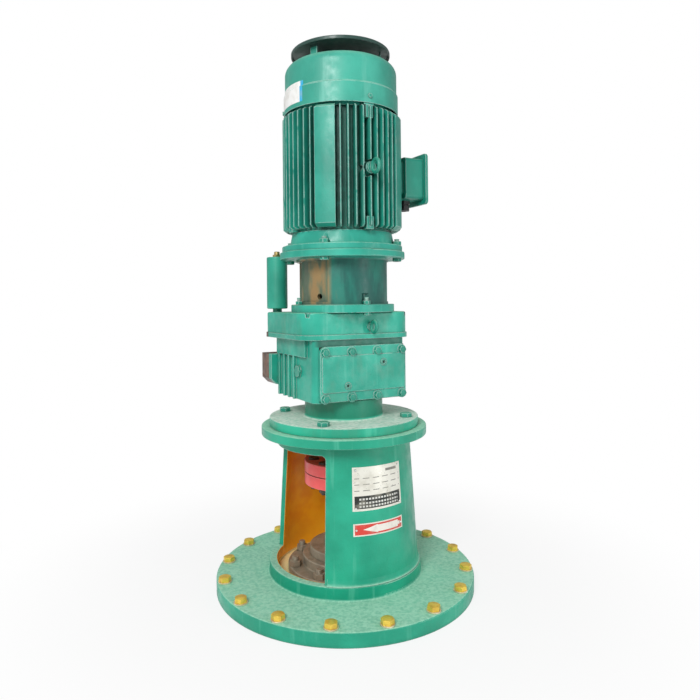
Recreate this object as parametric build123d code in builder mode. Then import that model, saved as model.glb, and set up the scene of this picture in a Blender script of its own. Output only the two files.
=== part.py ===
from build123d import *
import os
from math import acos, cos, pi, radians, sin, tan

os.makedirs("parts", exist_ok=True)

# A top-entry tank agitator drive. From the tank upwards: a cast stand on a round
# base flange, with a shaft seal and a pin coupling inside it, a two-stage gear
# reducer, a lantern with a jaw coupling, and a finned flange motor with its fan
# under a cowl and a rain cap. Everything turns about vertical axes: the motor and
# the agitator shaft share the main axis, the layshaft stands behind it.
# +Z is up, the origin is the centre of the base flange's underside, the
# inspection cover of the reducer faces -Y and the terminal box faces +X.

# ------------------------------------------------------------ fits and threads
fit = 0.05  # radial play of round pieces that are pressed or located
air = 0.3  # play between a piece and the neighbour it moves past or stands in


def hex_af(thread):
    """Width across flats of a bolt head or nut."""
    return 1.5 * thread


def head_h(thread):
    return 0.625 * thread


def nut_h(thread):
    return 0.8 * thread


# ----------------------------------------------------------------------- stand
base_r = 300.0
base_t = 30.0
base_bore_r = 62.0
base_edge = 17.5  # bolt circle to the rim
base_bolt_count = 16
base_thread = 16.0
washer_t = 2.5
collar_r = 178.0
collar_h = 28.0
cone_low_r = 172.0
cone_high_r = 154.5
stand_wall = 12.0
stand_h = 370.0
stand_flange_r = 194.0
stand_flange_t = 20.0
stand_bore_r = 95.0
window_top = 327.0
window_corner_r = 10.0
main_window_half = 47.4  # half-angle of the opening that faces -X
rear_window_half = 31.0  # half-angle of the one behind it, on +X

# -------------------------------------------------------------- plates on stand
plate_t = 0.8
name_plate_half = 21.5  # half-angle on the cone
name_plate_z = 212.0
name_plate_h = 92.0
arrow_plate_z = 160.0
arrow_plate_h = 26.0
rivet_r = 2.5
rivet_inset = 6.0

# ---------------------------------------------------- shaft seal and its bearing
stub_r = 30.0  # agitator shaft
stub_low = 6.0
stub_tap_r = 13.0
stub_tap_depth = 60.0
seal_flange_r = 134.0
seal_flange_t = 16.0
seal_tier_r = 100.0
seal_tier_h = 20.0
seal_body_r = 83.0
seal_body_h = 19.0
seal_stud_r = 120.0
seal_stud_count = 8
seal_thread = 16.0
gland_r = 52.0
gland_h = 12.0
ring_t = 8.0  # radial thickness of a lip seal
lip_seal_h = 10.0

# --------------------------------------------------------- pin coupling in stand
coupling_r = 94.0
coupling_mid = 259.0  # parting plane of the two halves
coupling_half_t = 27.0
coupling_hub_r = 46.0
coupling_hub_h = 34.0
coupling_pin_pcd_r = 72.0
coupling_pin_count = 8
coupling_pin_r = 7.0
coupling_bush_r = 13.0

# --------------------------------------------------------------- reducer housing
out_flange_r = 175.0
out_flange_t = 20.0
out_pcd_r = 150.0
out_thread = 16.0
neck_r = 92.0
neck_h = 45.0
spigot_h = 6.0
box_x = 118.0  # half-width of the plain walls
rib_x = 125.0  # half-width over the ribs and the top band
box_front = 88.0
box_back = 112.0
box_h = 138.0
box_wall = 11.0
back_wall = 7.0  # thinner, because the foot stiffens it
box_corner_r = 16.0
band_h = 39.0
band_front = 53.0
rib_w = 7.0
rib_ys = (11.0, 40.5, 68.0, 99.5)
foot_x = 142.0
foot_back = 165.0
foot_low = 23.0  # above the housing's underside
foot_h = 74.0
foot_chamfer = 14.0
lip_t = 11.0
lip_out = 3.0
top_x = 140.0
top_front = 88.0
top_back = 168.0
top_corner_r = 45.0
top_h = 49.0
top_wall = 12.0
hatch_x = 3.0  # centre of the inspection cover
hatch_half = 110.0
hatch_low = 2.0
hatch_top_gap = 14.0  # under the lip
hatch_t = 9.0
gasket_t = 1.0
hatch_opening_half = 86.0
hatch_bolt_pitch = 66.0
hatch_bolt_low = 8.5  # from the cover's lower edge
hatch_bolt_top = 13.0  # from its upper edge
hatch_corner_r = 14.0
hatch_boss_r = 11.0
hatch_thread = 10.0

# --------------------------------------------------------------------- gear train
gear_module = 2.5
pressure_angle = 25.0
backlash = 0.3
teeth_in = 13
teeth_lay_big = 51
teeth_lay_small = 15
teeth_out = 49
lay_y = gear_module * (teeth_in + teeth_lay_big) / 2
gear_in_w = 18.0
gear_out_w = 32.0
output_r = 27.5
output_top_r = 25.0
input_r = 15.0
lay_r = 12.5
lay_mid_r = 15.0

# ------------------------------------------------------------------------ lantern
lantern_low_r = 121.8
lantern_low_t = 18.0
lantern_r = 108.0
lantern_pocket_r = 97.0
lantern_bore_r = 86.0
lantern_top_r = 147.5
lantern_top_t = 16.0
lantern_h = 139.0
lantern_pcd_r = 113.0
lantern_thread = 10.0
pocket_half = 44.0
drain_r = 6.5
jaw_r = 45.0
jaw_h = 16.0
jaw_hub_h = 36.0
jaw_hub_r = 38.0
lobe_half = 8.0

# -------------------------------------------------------------------------- motor
motor_flange_r = 142.0
motor_flange_t = 14.0
motor_pcd_r = 132.5
motor_thread = 12.0
motor_spigot_r = 115.0
motor_spigot_h = 4.0
shield_r = 121.0
shield_h = 30.0
frame_r = 113.0
frame_bore_r = 103.0
frame_h = 272.0
fin_low = 5.0
fin_tip_r = 139.0
fin_count = 50
fin_root_w = 4.6
fin_tip_w = 2.6
pad_angle = 47.0  # from the X axis, in each quadrant
pad_half = 9.5
pad_r = 142.0
lug_w = 18.0
lug_r = 133.0
lug_h = 28.0
fin_slope_h = 8.0  # the ends of the fins slope in over this height
fin_slope_w = 12.0
motor_eye_h = 134.0  # above the frame's lower end
stator_bore_r = 70.0
air_gap = 0.5
stack_low = 36.0
stack_h = 180.0
winding_h = 22.0
end_ring_h = 10.0
motor_shaft_r = 24.0
motor_journal_r = 20.0
motor_stub_r = 19.0
motor_stub_len = 54.0
rear_shield_h = 16.0
rear_arm_h = 28.0
rear_arm_w = 24.0
bearing_r = 45.0
bearing_w = 23.0
cowl_low_r = 135.0
cowl_up_r = 132.0
cowl_wall = 2.0
cowl_overlap = 4.0
cowl_step_h = 46.0
cowl_h = 118.0
cowl_shoulder_r = 24.0
cowl_eye_r = 84.0
cap_r = 117.0
cap_h = 8.0
cap_plate_t = 2.5
cap_gap = 25.0
strut_w = 19.0
strut_t = 3.0
strut_r = 93.0
fan_r = 112.0
fan_h = 46.0
fan_blades = 8
guard_radii = (14.0, 33.0, 52.0, 71.0)
guard_w = 5.0
strut_angles = (-157.0, -37.0, 83.0)
strut_foot = 16.0

# ------------------------------------------------------------------- terminal box
tbox_z = 141.0  # centre above the frame's lower end
tbox_in = 150.0
tbox_out = 202.0
tbox_half = 50.0
tbox_wall = 4.0
neck_half = 40.0
lid_half_y = 60.0
lid_half_z = 62.0
lid_t = 8.0
gland_z_r = 12.0
cable_r = 7.0
entry_len = 30.0

# ------------------------------------------------------------------ expansion tank
tank_x = -111.0
tank_y = 138.0
tank_r = 25.5
tank_h = 128.0
tank_wall = 3.0
tank_stand = 8.0

# ------------------------------------------------------------ heights, all worked out
base_pcd_r = base_r - base_edge
collar_top = base_t + collar_h
out_flange_z = stand_h
neck_z = out_flange_z + out_flange_t
box_z = neck_z + neck_h
box_top = box_z + box_h
top_z = box_top + lip_t
top_end = top_z + top_h
lantern_z = top_end
lantern_end = lantern_z + lantern_h
shield_z = lantern_end + motor_flange_t
frame_z = shield_z + shield_h
frame_end = frame_z + frame_h
cowl_z = frame_end + cowl_overlap
cowl_end = cowl_z + cowl_h
cap_z = cowl_end + cap_gap
floor_z = box_z + top_wall


# ----------------------------------------------------------------- small helpers
def polar(radius, angle, z=0.0):
    """A point at a radius and an angle (degrees, from +X towards +Y)."""
    return (radius * cos(radians(angle)), radius * sin(radians(angle)), z)


def spread(count, start=0.0):
    return [start + 360 / count * k for k in range(count)]


def seats(radius, angles, z):
    """Upward planes on a circle, each with its local x pointing outwards."""
    return [
        Plane(origin=polar(radius, a, z), x_dir=polar(1, a), z_dir=(0, 0, 1))
        for a in angles
    ]


def half_plane(angle):
    """Upright plane through the main axis: local x is the radius, local y the height."""
    return Plane(
        origin=(0, 0, 0), x_dir=polar(1, angle), z_dir=polar(1, angle - 90)
    )


def outward(radius, angle, z):
    """Plane that faces away from the main axis, with local y pointing up."""
    return Plane(
        origin=polar(radius, angle, z), x_dir=polar(1, angle + 90), z_dir=polar(1, angle)
    )


def turned(points, y=0.0, mode=Mode.ADD):
    """Revolve an outline of (radius, height) points about the upright axis at y."""
    with BuildSketch(Plane.XZ.offset(-y)) as outline:
        Polygon(*points, align=None)
    revolve(outline.sketch, axis=Axis((0, y, 0), (0, 0, 1)), mode=mode)


def ring_solid(inner, outer, low, high, y=0.0, mode=Mode.ADD):
    with BuildSketch(Plane.XY.offset(low)) as section:
        with Locations((0, y)):
            Circle(outer)
            if inner > 0:
                Circle(inner, mode=Mode.SUBTRACT)
    extrude(section.sketch, amount=high - low, mode=mode)


def pin(plane, radius, low, high, mode=Mode.ADD):
    """A round bar along a plane's normal, between two heights above the plane."""
    with BuildSketch(plane.offset(low)) as section:
        Circle(radius)
    extrude(section.sketch, amount=high - low, mode=mode)


def hexagon(plane, thread, low, high):
    with BuildSketch(plane.offset(low)) as section:
        RegularPolygon(hex_af(thread) / 2, 6, major_radius=False)
    extrude(section.sketch, amount=high - low)


def hex_screw(plane, thread, length):
    """A hex-head screw whose head bears on the plane."""
    hexagon(plane, thread, 0, head_h(thread))
    pin(plane, thread / 2 - fit, -length, 0)


def bearing_outer(low, width, bore_r, outer_r, y=0.0):
    """Outer ring of a shielded ball bearing, with its two shields."""
    wall = (outer_r - bore_r) * 0.22
    lip = bore_r + wall + air
    shield = 1.2
    high = low + width
    turned(
        [
            (outer_r - fit, low),
            (outer_r - fit, high),
            (lip, high),
            (lip, high - shield),
            (outer_r - wall, high - shield),
            (outer_r - wall, low + shield),
            (lip, low + shield),
            (lip, low),
        ],
        y,
    )


def bearing_inner(low, width, bore_r, outer_r, y=0.0):
    wall = (outer_r - bore_r) * 0.22
    ring_solid(bore_r + fit, bore_r + wall, low, low + width, y)


def tooth_half_angle(radius, pitch_r, base_radius):
    """Half the angle that a tooth spans at a radius, from the involute."""
    flank = acos(min(1.0, base_radius / radius))
    at_pitch = radians(pressure_angle)
    half_pitch = (pi * gear_module / 2 - backlash / 2) / (2 * pitch_r)
    return half_pitch + (tan(at_pitch) - at_pitch) - (tan(flank) - flank)


def gear_outline(teeth, first_tooth):
    """Points of a spur gear with involute flanks; one tooth stands at first_tooth."""
    pitch_r = gear_module * teeth / 2
    base_radius = pitch_r * cos(radians(pressure_angle))
    tip_r = pitch_r + gear_module
    root_r = pitch_r - 1.25 * gear_module
    foot_r = max(base_radius, root_r)
    radii = [foot_r, (foot_r + tip_r) / 2, tip_r]
    points = []
    for angle in spread(teeth, first_tooth):
        foot = tooth_half_angle(foot_r, pitch_r, base_radius) * 180 / pi
        sides = [(root_r, foot)]
        sides += [
            (r, tooth_half_angle(r, pitch_r, base_radius) * 180 / pi) for r in radii
        ]
        points += [polar(r, angle - half)[:2] for r, half in sides]
        points += [polar(r, angle + half)[:2] for r, half in reversed(sides)]
    return points


def gear_solid(teeth, first_tooth, low, width, y=0.0, mode=Mode.ADD):
    with BuildSketch(Plane.XY.offset(low)) as section:
        with Locations((0, y)):
            Polygon(*gear_outline(teeth, first_tooth), align=None)
    extrude(section.sketch, amount=width, mode=mode)


def eye_bolt(plane, ring_r, wire_r, thread, shank_len):
    """Lifting eye on a collar; the shank goes down into the plane."""
    collar_t = 3.0
    pin(plane, thread * 0.9, 0, collar_t)
    pin(plane, thread / 2 - fit, -shank_len, 0)
    middle = plane.offset(collar_t + ring_r + wire_r * 0.5)
    with Locations(Plane(origin=middle.origin, x_dir=middle.z_dir, z_dir=middle.x_dir)):
        Torus(ring_r, wire_r)


def rims(part, radius, height=None):
    """Circular edges of one radius, at one height if that is given."""
    return [
        e
        for e in part.edges().filter_by(GeomType.CIRCLE)
        if abs(e.radius - radius) < 0.01
        and (height is None or abs(e.center(CenterOf.MASS).Z - height) < 0.01)
    ]


def wedge(inner, outer, centre, half):
    """Plan of a sector whose two sides are radial."""
    Polygon(
        polar(inner, centre - half)[:2],
        polar(outer, centre - half)[:2],
        polar(outer, centre)[:2],
        polar(outer, centre + half)[:2],
        polar(inner, centre + half)[:2],
        align=None,
    )


def save(piece, name):
    piece.part.label = name
    export_step(piece.part, f"parts/{name}.step")


# ---------------------------------------------------------------------- the stand
flange_under = stand_h - stand_flange_t
inner_low_r = cone_low_r - stand_wall
inner_high_r = cone_high_r - stand_wall


def cone_r(z):
    """Outer radius of the stand's cone at a height."""
    share = (z - collar_top) / (flange_under - collar_top)
    return cone_low_r + (cone_high_r - cone_low_r) * share


base_angles = spread(base_bolt_count, 180 / base_bolt_count)
seal_angles = spread(seal_stud_count, 33.75)
diagonals = spread(4, 45.0)
quarters = spread(4, 0.0)
base_hole_r = base_thread / 2 + 1.0
seal_stud_depth = 18.0

with BuildPart() as window_space:
    for facing, half in ((180.0, main_window_half), (0.0, rear_window_half)):
        with BuildSketch(Plane.XY.offset(collar_top)):
            wedge(cone_high_r * 0.6, collar_r * 1.6, facing, half)
        extrude(amount=window_top - collar_top)
    top_edges = window_space.edges().group_by(Axis.Z)[-1]
    jamb_tops = [
        e
        for e in top_edges
        if abs((e % 0.5).dot(Vector((e @ 0.5).X, (e @ 0.5).Y, 0).normalized())) > 0.99
    ]
    fillet(jamb_tops, window_corner_r)

with BuildPart() as stand:
    turned(
        [
            (base_bore_r, 0),
            (base_r, 0),
            (base_r, base_t),
            (collar_r, base_t),
            (collar_r, collar_top),
            (cone_low_r, collar_top),
            (cone_high_r, flange_under),
            (stand_flange_r, flange_under),
            (stand_flange_r, stand_h),
            (stand_bore_r, stand_h),
            (stand_bore_r, flange_under),
            (inner_high_r, flange_under),
            (inner_low_r, collar_top),
            (inner_low_r, base_t),
            (base_bore_r, base_t),
        ]
    )
    fillet(rims(stand, collar_r, base_t), 5.0)
    fillet(rims(stand, collar_r, collar_top), 2.5)
    fillet(rims(stand, cone_high_r, flange_under), 6.0)
    fillet(rims(stand, stand_flange_r), 2.0)
    fillet(rims(stand, base_r, base_t), 2.5)
    add(window_space.part, mode=Mode.SUBTRACT)
    for seat in seats(base_pcd_r, base_angles, 0):
        pin(seat, base_hole_r, 0, base_t, Mode.SUBTRACT)
    for seat in seats(seal_stud_r, seal_angles, base_t):
        pin(seat, seal_thread / 2, -seal_stud_depth, 0, Mode.SUBTRACT)
    for seat in seats(out_pcd_r, diagonals, stand_h):
        pin(seat, out_thread / 2, -stand_flange_t, 0, Mode.SUBTRACT)
save(stand, "stand")

with BuildPart() as base_washers:
    for seat in seats(base_pcd_r, base_angles, base_t):
        pin(seat, base_thread * 0.94, 0, washer_t)
        pin(seat, base_hole_r, 0, washer_t, Mode.SUBTRACT)
save(base_washers, "base_washers")

with BuildPart() as base_bolts:
    for seat in seats(base_pcd_r, base_angles, base_t + washer_t):
        hex_screw(seat, base_thread, base_t + washer_t - 1.0)
save(base_bolts, "base_bolts")

# ---------------------------------------------------------------- plates on stand


def cone_patch(centre, half, low, high, inner, outer):
    """A plate that follows the cone, between two distances from its surface."""
    with BuildSketch(half_plane(centre - half)) as section:
        Polygon(
            (cone_r(low) + inner, low),
            (cone_r(low) + outer, low),
            (cone_r(high) + outer, high),
            (cone_r(high) + inner, high),
            align=None,
        )
    revolve(section.sketch, axis=Axis.Z, revolution_arc=2 * half)


rivet_sites = [
    (side * (name_plate_half - 2.0), z)
    for side in (-1, 1)
    for z in (name_plate_z + rivet_inset, name_plate_z + name_plate_h - rivet_inset)
]
arrow_mid = arrow_plate_z + arrow_plate_h / 2
rivet_sites += [(side * (name_plate_half - 2.0), arrow_mid) for side in (-1, 1)]


def rivet_seat(site):
    turn, z = site
    return outward(cone_r(z) + air + plate_t, -90.0 + turn, z)


with BuildPart() as name_plate:
    top_z_plate = name_plate_z + name_plate_h
    cone_patch(-90.0, name_plate_half, name_plate_z, top_z_plate, air, air + plate_t)
save(name_plate, "name_plate")

with BuildPart() as arrow_plate:
    arrow_top = arrow_plate_z + arrow_plate_h
    cone_patch(-90.0, name_plate_half, arrow_plate_z, arrow_top, air, air + plate_t)
save(arrow_plate, "arrow_plate")

with BuildPart() as plate_rivets:
    for site in rivet_sites:
        with BuildSketch(rivet_seat(site).offset(air)):
            Circle(rivet_r)
        extrude(amount=1.2, taper=25)
save(plate_rivets, "plate_rivets")

# ----------------------------------------------------- shaft seal and lower bearing
seal_flange_top = base_t + seal_flange_t
seal_tier_top = seal_flange_top + seal_tier_h
seal_top = seal_tier_top + seal_body_h
stub_bearing_r = 55.0
stub_bearing_w = 20.0
stub_bearing_z = base_t + 20.0
gland_bore_r = 42.0
gland_spigot_h = 12.0

with BuildPart() as seal_housing:
    turned(
        [
            (stub_bearing_r, base_t),
            (seal_flange_r, base_t),
            (seal_flange_r, seal_flange_top),
            (seal_tier_r, seal_flange_top),
            (seal_tier_r, seal_tier_top),
            (seal_body_r, seal_tier_top),
            (seal_body_r, seal_top),
            (gland_bore_r, seal_top),
            (gland_bore_r, stub_bearing_z + stub_bearing_w),
            (stub_bearing_r, stub_bearing_z + stub_bearing_w),
        ]
    )
    fillet(rims(seal_housing, seal_tier_r, seal_flange_top), 3.0)
    chamfer(rims(seal_housing, seal_flange_r, seal_flange_top), 1.5)
    chamfer(rims(seal_housing, seal_tier_r, seal_tier_top), 2.0)
    chamfer(rims(seal_housing, seal_body_r, seal_top), 2.0)
    for seat in seats(seal_stud_r, seal_angles, base_t):
        pin(seat, seal_thread / 2 + 0.5, 0, seal_flange_t, Mode.SUBTRACT)
save(seal_housing, "seal_housing")

with BuildPart() as seal_studs:
    for seat in seats(seal_stud_r, seal_angles, base_t):
        stud_top = seal_flange_t + nut_h(seal_thread) + 9.0
        pin(seat, seal_thread / 2 - fit, 0.5 - seal_stud_depth, stud_top)
        hexagon(seat.offset(seal_flange_t), seal_thread, 0, nut_h(seal_thread))
save(seal_studs, "seal_studs")

with BuildPart() as gland_nut:
    with BuildSketch(Plane.XY.offset(seal_top)):
        RegularPolygon(gland_r, 6, rotation=15)
    extrude(amount=gland_h)
    pin(Plane.XY.offset(seal_top), gland_bore_r - fit, -gland_spigot_h, 0)
    pin(Plane.XY.offset(seal_top), stub_r + 1.0, -gland_spigot_h, gland_h, Mode.SUBTRACT)
save(gland_nut, "gland_nut")

with BuildPart() as agitator_shaft:
    pin(Plane.XY, stub_r, stub_low, coupling_mid - 1.0)
    pin(Plane.XY, stub_tap_r, stub_low, stub_low + stub_tap_depth, Mode.SUBTRACT)
    chamfer(rims(agitator_shaft, stub_r, stub_low), 2.0)
save(agitator_shaft, "agitator_shaft")

# ---------------------------------------------------------- pin coupling in stand
coupling_low = coupling_mid - coupling_half_t
coupling_high = coupling_mid + coupling_half_t
pin_seats = seats(coupling_pin_pcd_r, spread(coupling_pin_count, 22.5), 0)
hub_low = coupling_low - coupling_hub_h
hub_high = coupling_high + coupling_hub_h

with BuildPart() as lower_coupling:
    ring_solid(stub_r + fit, coupling_r, coupling_low, coupling_mid - 1.0)
    ring_solid(stub_r + fit, coupling_hub_r, hub_low, coupling_low)
    fillet(rims(lower_coupling, coupling_hub_r, coupling_low), 4.0)
    chamfer(rims(lower_coupling, coupling_hub_r, hub_low), 2.0)
    fillet(rims(lower_coupling, coupling_r), 1.5)
    for seat in pin_seats:
        pin(seat, coupling_pin_r + fit, coupling_low, coupling_mid, Mode.SUBTRACT)
save(lower_coupling, "lower_coupling")

with BuildPart() as upper_coupling:
    ring_solid(output_r + fit, coupling_r, coupling_mid + 1.0, coupling_high)
    ring_solid(output_r + fit, coupling_hub_r, coupling_high, hub_high)
    fillet(rims(upper_coupling, coupling_hub_r, coupling_high), 4.0)
    chamfer(rims(upper_coupling, coupling_hub_r, hub_high), 2.0)
    fillet(rims(upper_coupling, coupling_r), 1.5)
    for seat in pin_seats:
        pin(seat, coupling_bush_r + fit, coupling_mid, coupling_high, Mode.SUBTRACT)
save(upper_coupling, "upper_coupling")

with BuildPart() as coupling_bushes:
    for seat in pin_seats:
        pin(seat, coupling_bush_r, coupling_mid + 1.0, coupling_high)
        pin(seat, coupling_pin_r + fit, coupling_mid, coupling_high, Mode.SUBTRACT)
save(coupling_bushes, "coupling_bushes")

with BuildPart() as coupling_pins:
    for seat in pin_seats:
        head = seat.offset(coupling_high)
        pin(head, coupling_bush_r - 1.0, 0, 4.0)
        pin(seat, coupling_pin_r, coupling_low - 16.0, coupling_high)
        nut = seat.offset(coupling_low - nut_h(2 * coupling_pin_r))
        hexagon(nut, 2 * coupling_pin_r, 0, nut_h(2 * coupling_pin_r))
save(coupling_pins, "coupling_pins")

# --------------------------------------------------------------- reducer housing
out_bearing_r = 50.0
out_bearing_w = 21.0
out_bearing_z = neck_z + 8.0
out_seal_z = out_flange_z + 5.0
out_seal_r = output_r + ring_t + 1.5
housing_bore_r = 62.0
bridge_t = 12.0
bridge_z = box_top - 14.0
bridge_boss_r = 54.0
ledge_wall = 6.0
cavity_r = 12.0
top_bearing_r = 45.0
top_bearing_w = 20.0
top_shoulder = 11.0  # between the two bearings in the bridge
top_bearing_z = bridge_z - top_shoulder - top_bearing_w
input_bearing_r = 31.0
input_bearing_w = 16.0
input_low_z = bridge_z - 6.0
input_high_z = top_end - 18.0
lay_bearing_r = 26.0
lay_bearing_w = 15.0
lay_low_z = floor_z + 2.0
lay_high_z = top_end - 19.0
lay_boss_r = 34.0
gear_out_z = floor_z + 23.0
gear_in_z = top_z + 8.0
side_plug_y = -9.0
side_plug_z = box_z + 65.0
side_plug_thread = 20.0
side_plug_seat = Plane(
    origin=(-box_x, side_plug_y, side_plug_z), x_dir=(0, -1, 0), z_dir=(-1, 0, 0)
)
hatch_mid_y = -(box_front + gasket_t)
hatch_z = box_z + hatch_low
hatch_h = box_h - hatch_low - hatch_top_gap
hatch_bolt_rise = hatch_h - hatch_bolt_low - hatch_bolt_top
hatch_sites = [
    (hatch_x + hatch_bolt_pitch * (k - 1.5), hatch_z + hatch_bolt_low + rise)
    for rise in (0.0, hatch_bolt_rise)
    for k in range(4)
]
hatch_open_low = hatch_z + hatch_bolt_low + hatch_boss_r
hatch_open_h = hatch_bolt_rise - 2 * hatch_boss_r


cover_screw_x = top_x - 20.0
cover_screw_sites = [
    (side * cover_screw_x, y) for side in (-1, 1) for y in (20.0 - top_front, top_back - 22.0)
]
cover_thread = 10.0
cover_bore_depth = 10.0

def above(x, y, z):
    """Upward plane at a point."""
    return Plane(origin=(x, y, z), z_dir=(0, 0, 1))


def front_seat(x, z, y):
    """Plane that faces -Y, with local x along +X."""
    return Plane(origin=(x, y, z), x_dir=(1, 0, 0), z_dir=(0, -1, 0))


def plan(x_half, front, back, corner):
    """Rounded rectangle in plan, from -front to back."""
    with Locations((0, (back - front) / 2)):
        RectangleRounded(2 * x_half, front + back, corner)


with BuildPart() as output_flange:
    turned(
        [
            (out_seal_r, out_flange_z - spigot_h),
            (stand_bore_r - fit, out_flange_z - spigot_h),
            (stand_bore_r - fit, out_flange_z),
            (out_flange_r, out_flange_z),
            (out_flange_r, neck_z),
            (neck_r, neck_z),
            (neck_r, box_z),
            (housing_bore_r - fit, box_z),
            (housing_bore_r - fit, box_z + spigot_h),
            (out_bearing_r, box_z + spigot_h),
            (out_bearing_r, out_bearing_z),
            (out_seal_r, out_bearing_z),
        ]
    )
    fillet(rims(output_flange, neck_r, neck_z), 6.0)
    fillet(rims(output_flange, out_flange_r), 1.5)
    for seat in seats(out_pcd_r, diagonals, out_flange_z):
        pin(seat, out_thread / 2 + 0.5, 0, out_flange_t, Mode.SUBTRACT)
save(output_flange, "output_flange")

with BuildPart() as flange_bolts:
    for seat in seats(out_pcd_r, diagonals, neck_z):
        hex_screw(seat, out_thread, out_flange_t + stand_flange_t - 2.0)
save(flange_bolts, "flange_bolts")

with BuildPart() as gear_housing:
    with BuildSketch(Plane.XY.offset(box_z)):
        plan(box_x, box_front, box_back, box_corner_r)
    extrude(amount=box_h)
    # the machined band under the lip and the ribs that run down from it
    with BuildSketch(Plane.XY.offset(box_top - band_h)):
        plan(rib_x, band_front, box_back, 2.0)
    extrude(amount=band_h)
    with BuildSketch(Plane.XY.offset(box_z)):
        for y in rib_ys:
            with Locations((0, y)):
                Rectangle(2 * rib_x, rib_w)
    extrude(amount=box_h)
    # the reducer's own foot, cast on the back
    with BuildSketch(Plane.XY.offset(box_z + foot_low)):
        with Locations((0, (box_back + foot_back) / 2 - 4.0)):
            Rectangle(2 * foot_x, foot_back - box_back + 8.0)
    extrude(amount=foot_h)
    foot_edges = gear_housing.edges().filter_by(Axis.Y).group_by(Axis.X)
    low_edges = [
        group.filter_by(lambda e: abs(e.center().Z - box_z - foot_low) < 0.1)
        for group in (foot_edges[0], foot_edges[-1])
    ]
    chamfer(low_edges[0] + low_edges[1], foot_chamfer)
    # the lip that carries the upper casing
    with BuildSketch(Plane.XY.offset(box_top)):
        plan(
            top_x + lip_out,
            top_front + lip_out,
            top_back + lip_out,
            top_corner_r + lip_out,
        )
    extrude(amount=lip_t)
    # bearing boss of the layshaft, then the cavity around it
    with BuildSketch(Plane.XY.offset(floor_z)):
        plan(box_x - box_wall, box_front - box_wall, box_back - back_wall, cavity_r)
        with Locations((0, lay_y)):
            Circle(lay_boss_r, mode=Mode.SUBTRACT)
    extrude(amount=lay_bearing_w + 2.0, mode=Mode.SUBTRACT)
    with BuildSketch(Plane.XY.offset(floor_z + lay_bearing_w + 2.0)):
        plan(box_x - box_wall, box_front - box_wall, box_back - back_wall, cavity_r)
    extrude(amount=bridge_z - floor_z - lay_bearing_w - 2.0, mode=Mode.SUBTRACT)
    with BuildSketch(Plane.XY.offset(bridge_z)):
        plan(
            box_x - ledge_wall,
            box_front - ledge_wall,
            box_back - ledge_wall,
            cavity_r,
        )
    extrude(amount=top_z - bridge_z, mode=Mode.SUBTRACT)
    boss_top = floor_z + lay_bearing_w + 2.0
    ring_solid(0, lay_bearing_r, lay_low_z, boss_top, lay_y, Mode.SUBTRACT)
    ring_solid(0, housing_bore_r, box_z, floor_z, 0, Mode.SUBTRACT)
    # the opening behind the inspection cover, with its tapped holes
    with BuildSketch(front_seat(hatch_x, hatch_open_low + hatch_open_h / 2, -box_front)):
        RectangleRounded(2 * hatch_opening_half, hatch_open_h, 8.0)
    extrude(amount=-box_wall, mode=Mode.SUBTRACT)
    for x, z in hatch_sites:
        seat = front_seat(x, z, -box_front)
        pin(seat, hatch_thread / 2, -box_wall + 2.0, 0, Mode.SUBTRACT)
    # tapped holes for the casing screws and the oil level plug
    for x, y in cover_screw_sites:
        pin(above(x, y, top_z), cover_thread / 2, -lip_t, 0, Mode.SUBTRACT)
    pin(side_plug_seat, side_plug_thread / 2, -box_wall, 0, Mode.SUBTRACT)
save(gear_housing, "gear_housing")

eye_seat = front_seat(24.0, top_z + 16.0, -top_front)
eye_thread = 10.0
eye_depth = 10.0

with BuildPart() as bearing_bridge:
    with BuildSketch(Plane.XY.offset(bridge_z)):
        plan(
            box_x - ledge_wall - air,
            box_front - ledge_wall - air,
            box_back - ledge_wall - air,
            cavity_r,
        )
    extrude(amount=bridge_t)
    ring_solid(0, bridge_boss_r, top_bearing_z - 1.0, bridge_z)
    ring_solid(0, top_bearing_r, top_bearing_z - 1.0, bridge_z - top_shoulder, 0, Mode.SUBTRACT)
    ring_solid(0, input_bearing_r, input_low_z, bridge_z + bridge_t, 0, Mode.SUBTRACT)
    ring_solid(0, output_top_r, bridge_z - top_shoulder, input_low_z, 0, Mode.SUBTRACT)
    ring_solid(0, lay_mid_r + 6.0, bridge_z, bridge_z + bridge_t, lay_y, Mode.SUBTRACT)
save(bearing_bridge, "bearing_bridge")

with BuildPart() as gear_cover:
    with BuildSketch(Plane.XY.offset(top_z)):
        plan(top_x, top_front, top_back, top_corner_r)
    extrude(amount=top_h)
    fillet(gear_cover.faces().sort_by(Axis.Z)[-1].outer_wire().edges(), 4.0)
    with BuildSketch(Plane.XY.offset(top_z)):
        plan(
            top_x - top_wall,
            top_front - top_wall,
            top_back - top_wall,
            top_corner_r - top_wall,
        )
        with Locations(*cover_screw_sites):
            Circle(top_corner_r - 30.0, mode=Mode.SUBTRACT)
    extrude(amount=top_h - top_wall, mode=Mode.SUBTRACT)
    boss_low = gear_in_z + gear_in_w + 3.0
    ring_solid(0, input_bearing_r + 9.0, boss_low, top_end - top_wall)
    ring_solid(0, lay_boss_r, boss_low, top_end - top_wall, lay_y)
    ring_solid(0, input_bearing_r, boss_low, top_end, 0, Mode.SUBTRACT)
    lay_pocket_top = lay_high_z + lay_bearing_w
    ring_solid(0, lay_bearing_r, boss_low, lay_pocket_top, lay_y, Mode.SUBTRACT)
    for x, y in cover_screw_sites:
        pin(above(x, y, top_end), cover_thread / 2 + 0.5, -top_h, 0, Mode.SUBTRACT)
        pin(above(x, y, top_end), cover_thread, -cover_bore_depth, 0, Mode.SUBTRACT)
    for seat in seats(lantern_pcd_r, (0.0, 90.0, 180.0), top_end):
        pin(seat, lantern_thread / 2, 2.0 - top_wall, 0, Mode.SUBTRACT)
    pin(eye_seat, eye_thread / 2, -eye_depth, 0, Mode.SUBTRACT)
save(gear_cover, "gear_cover")

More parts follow.
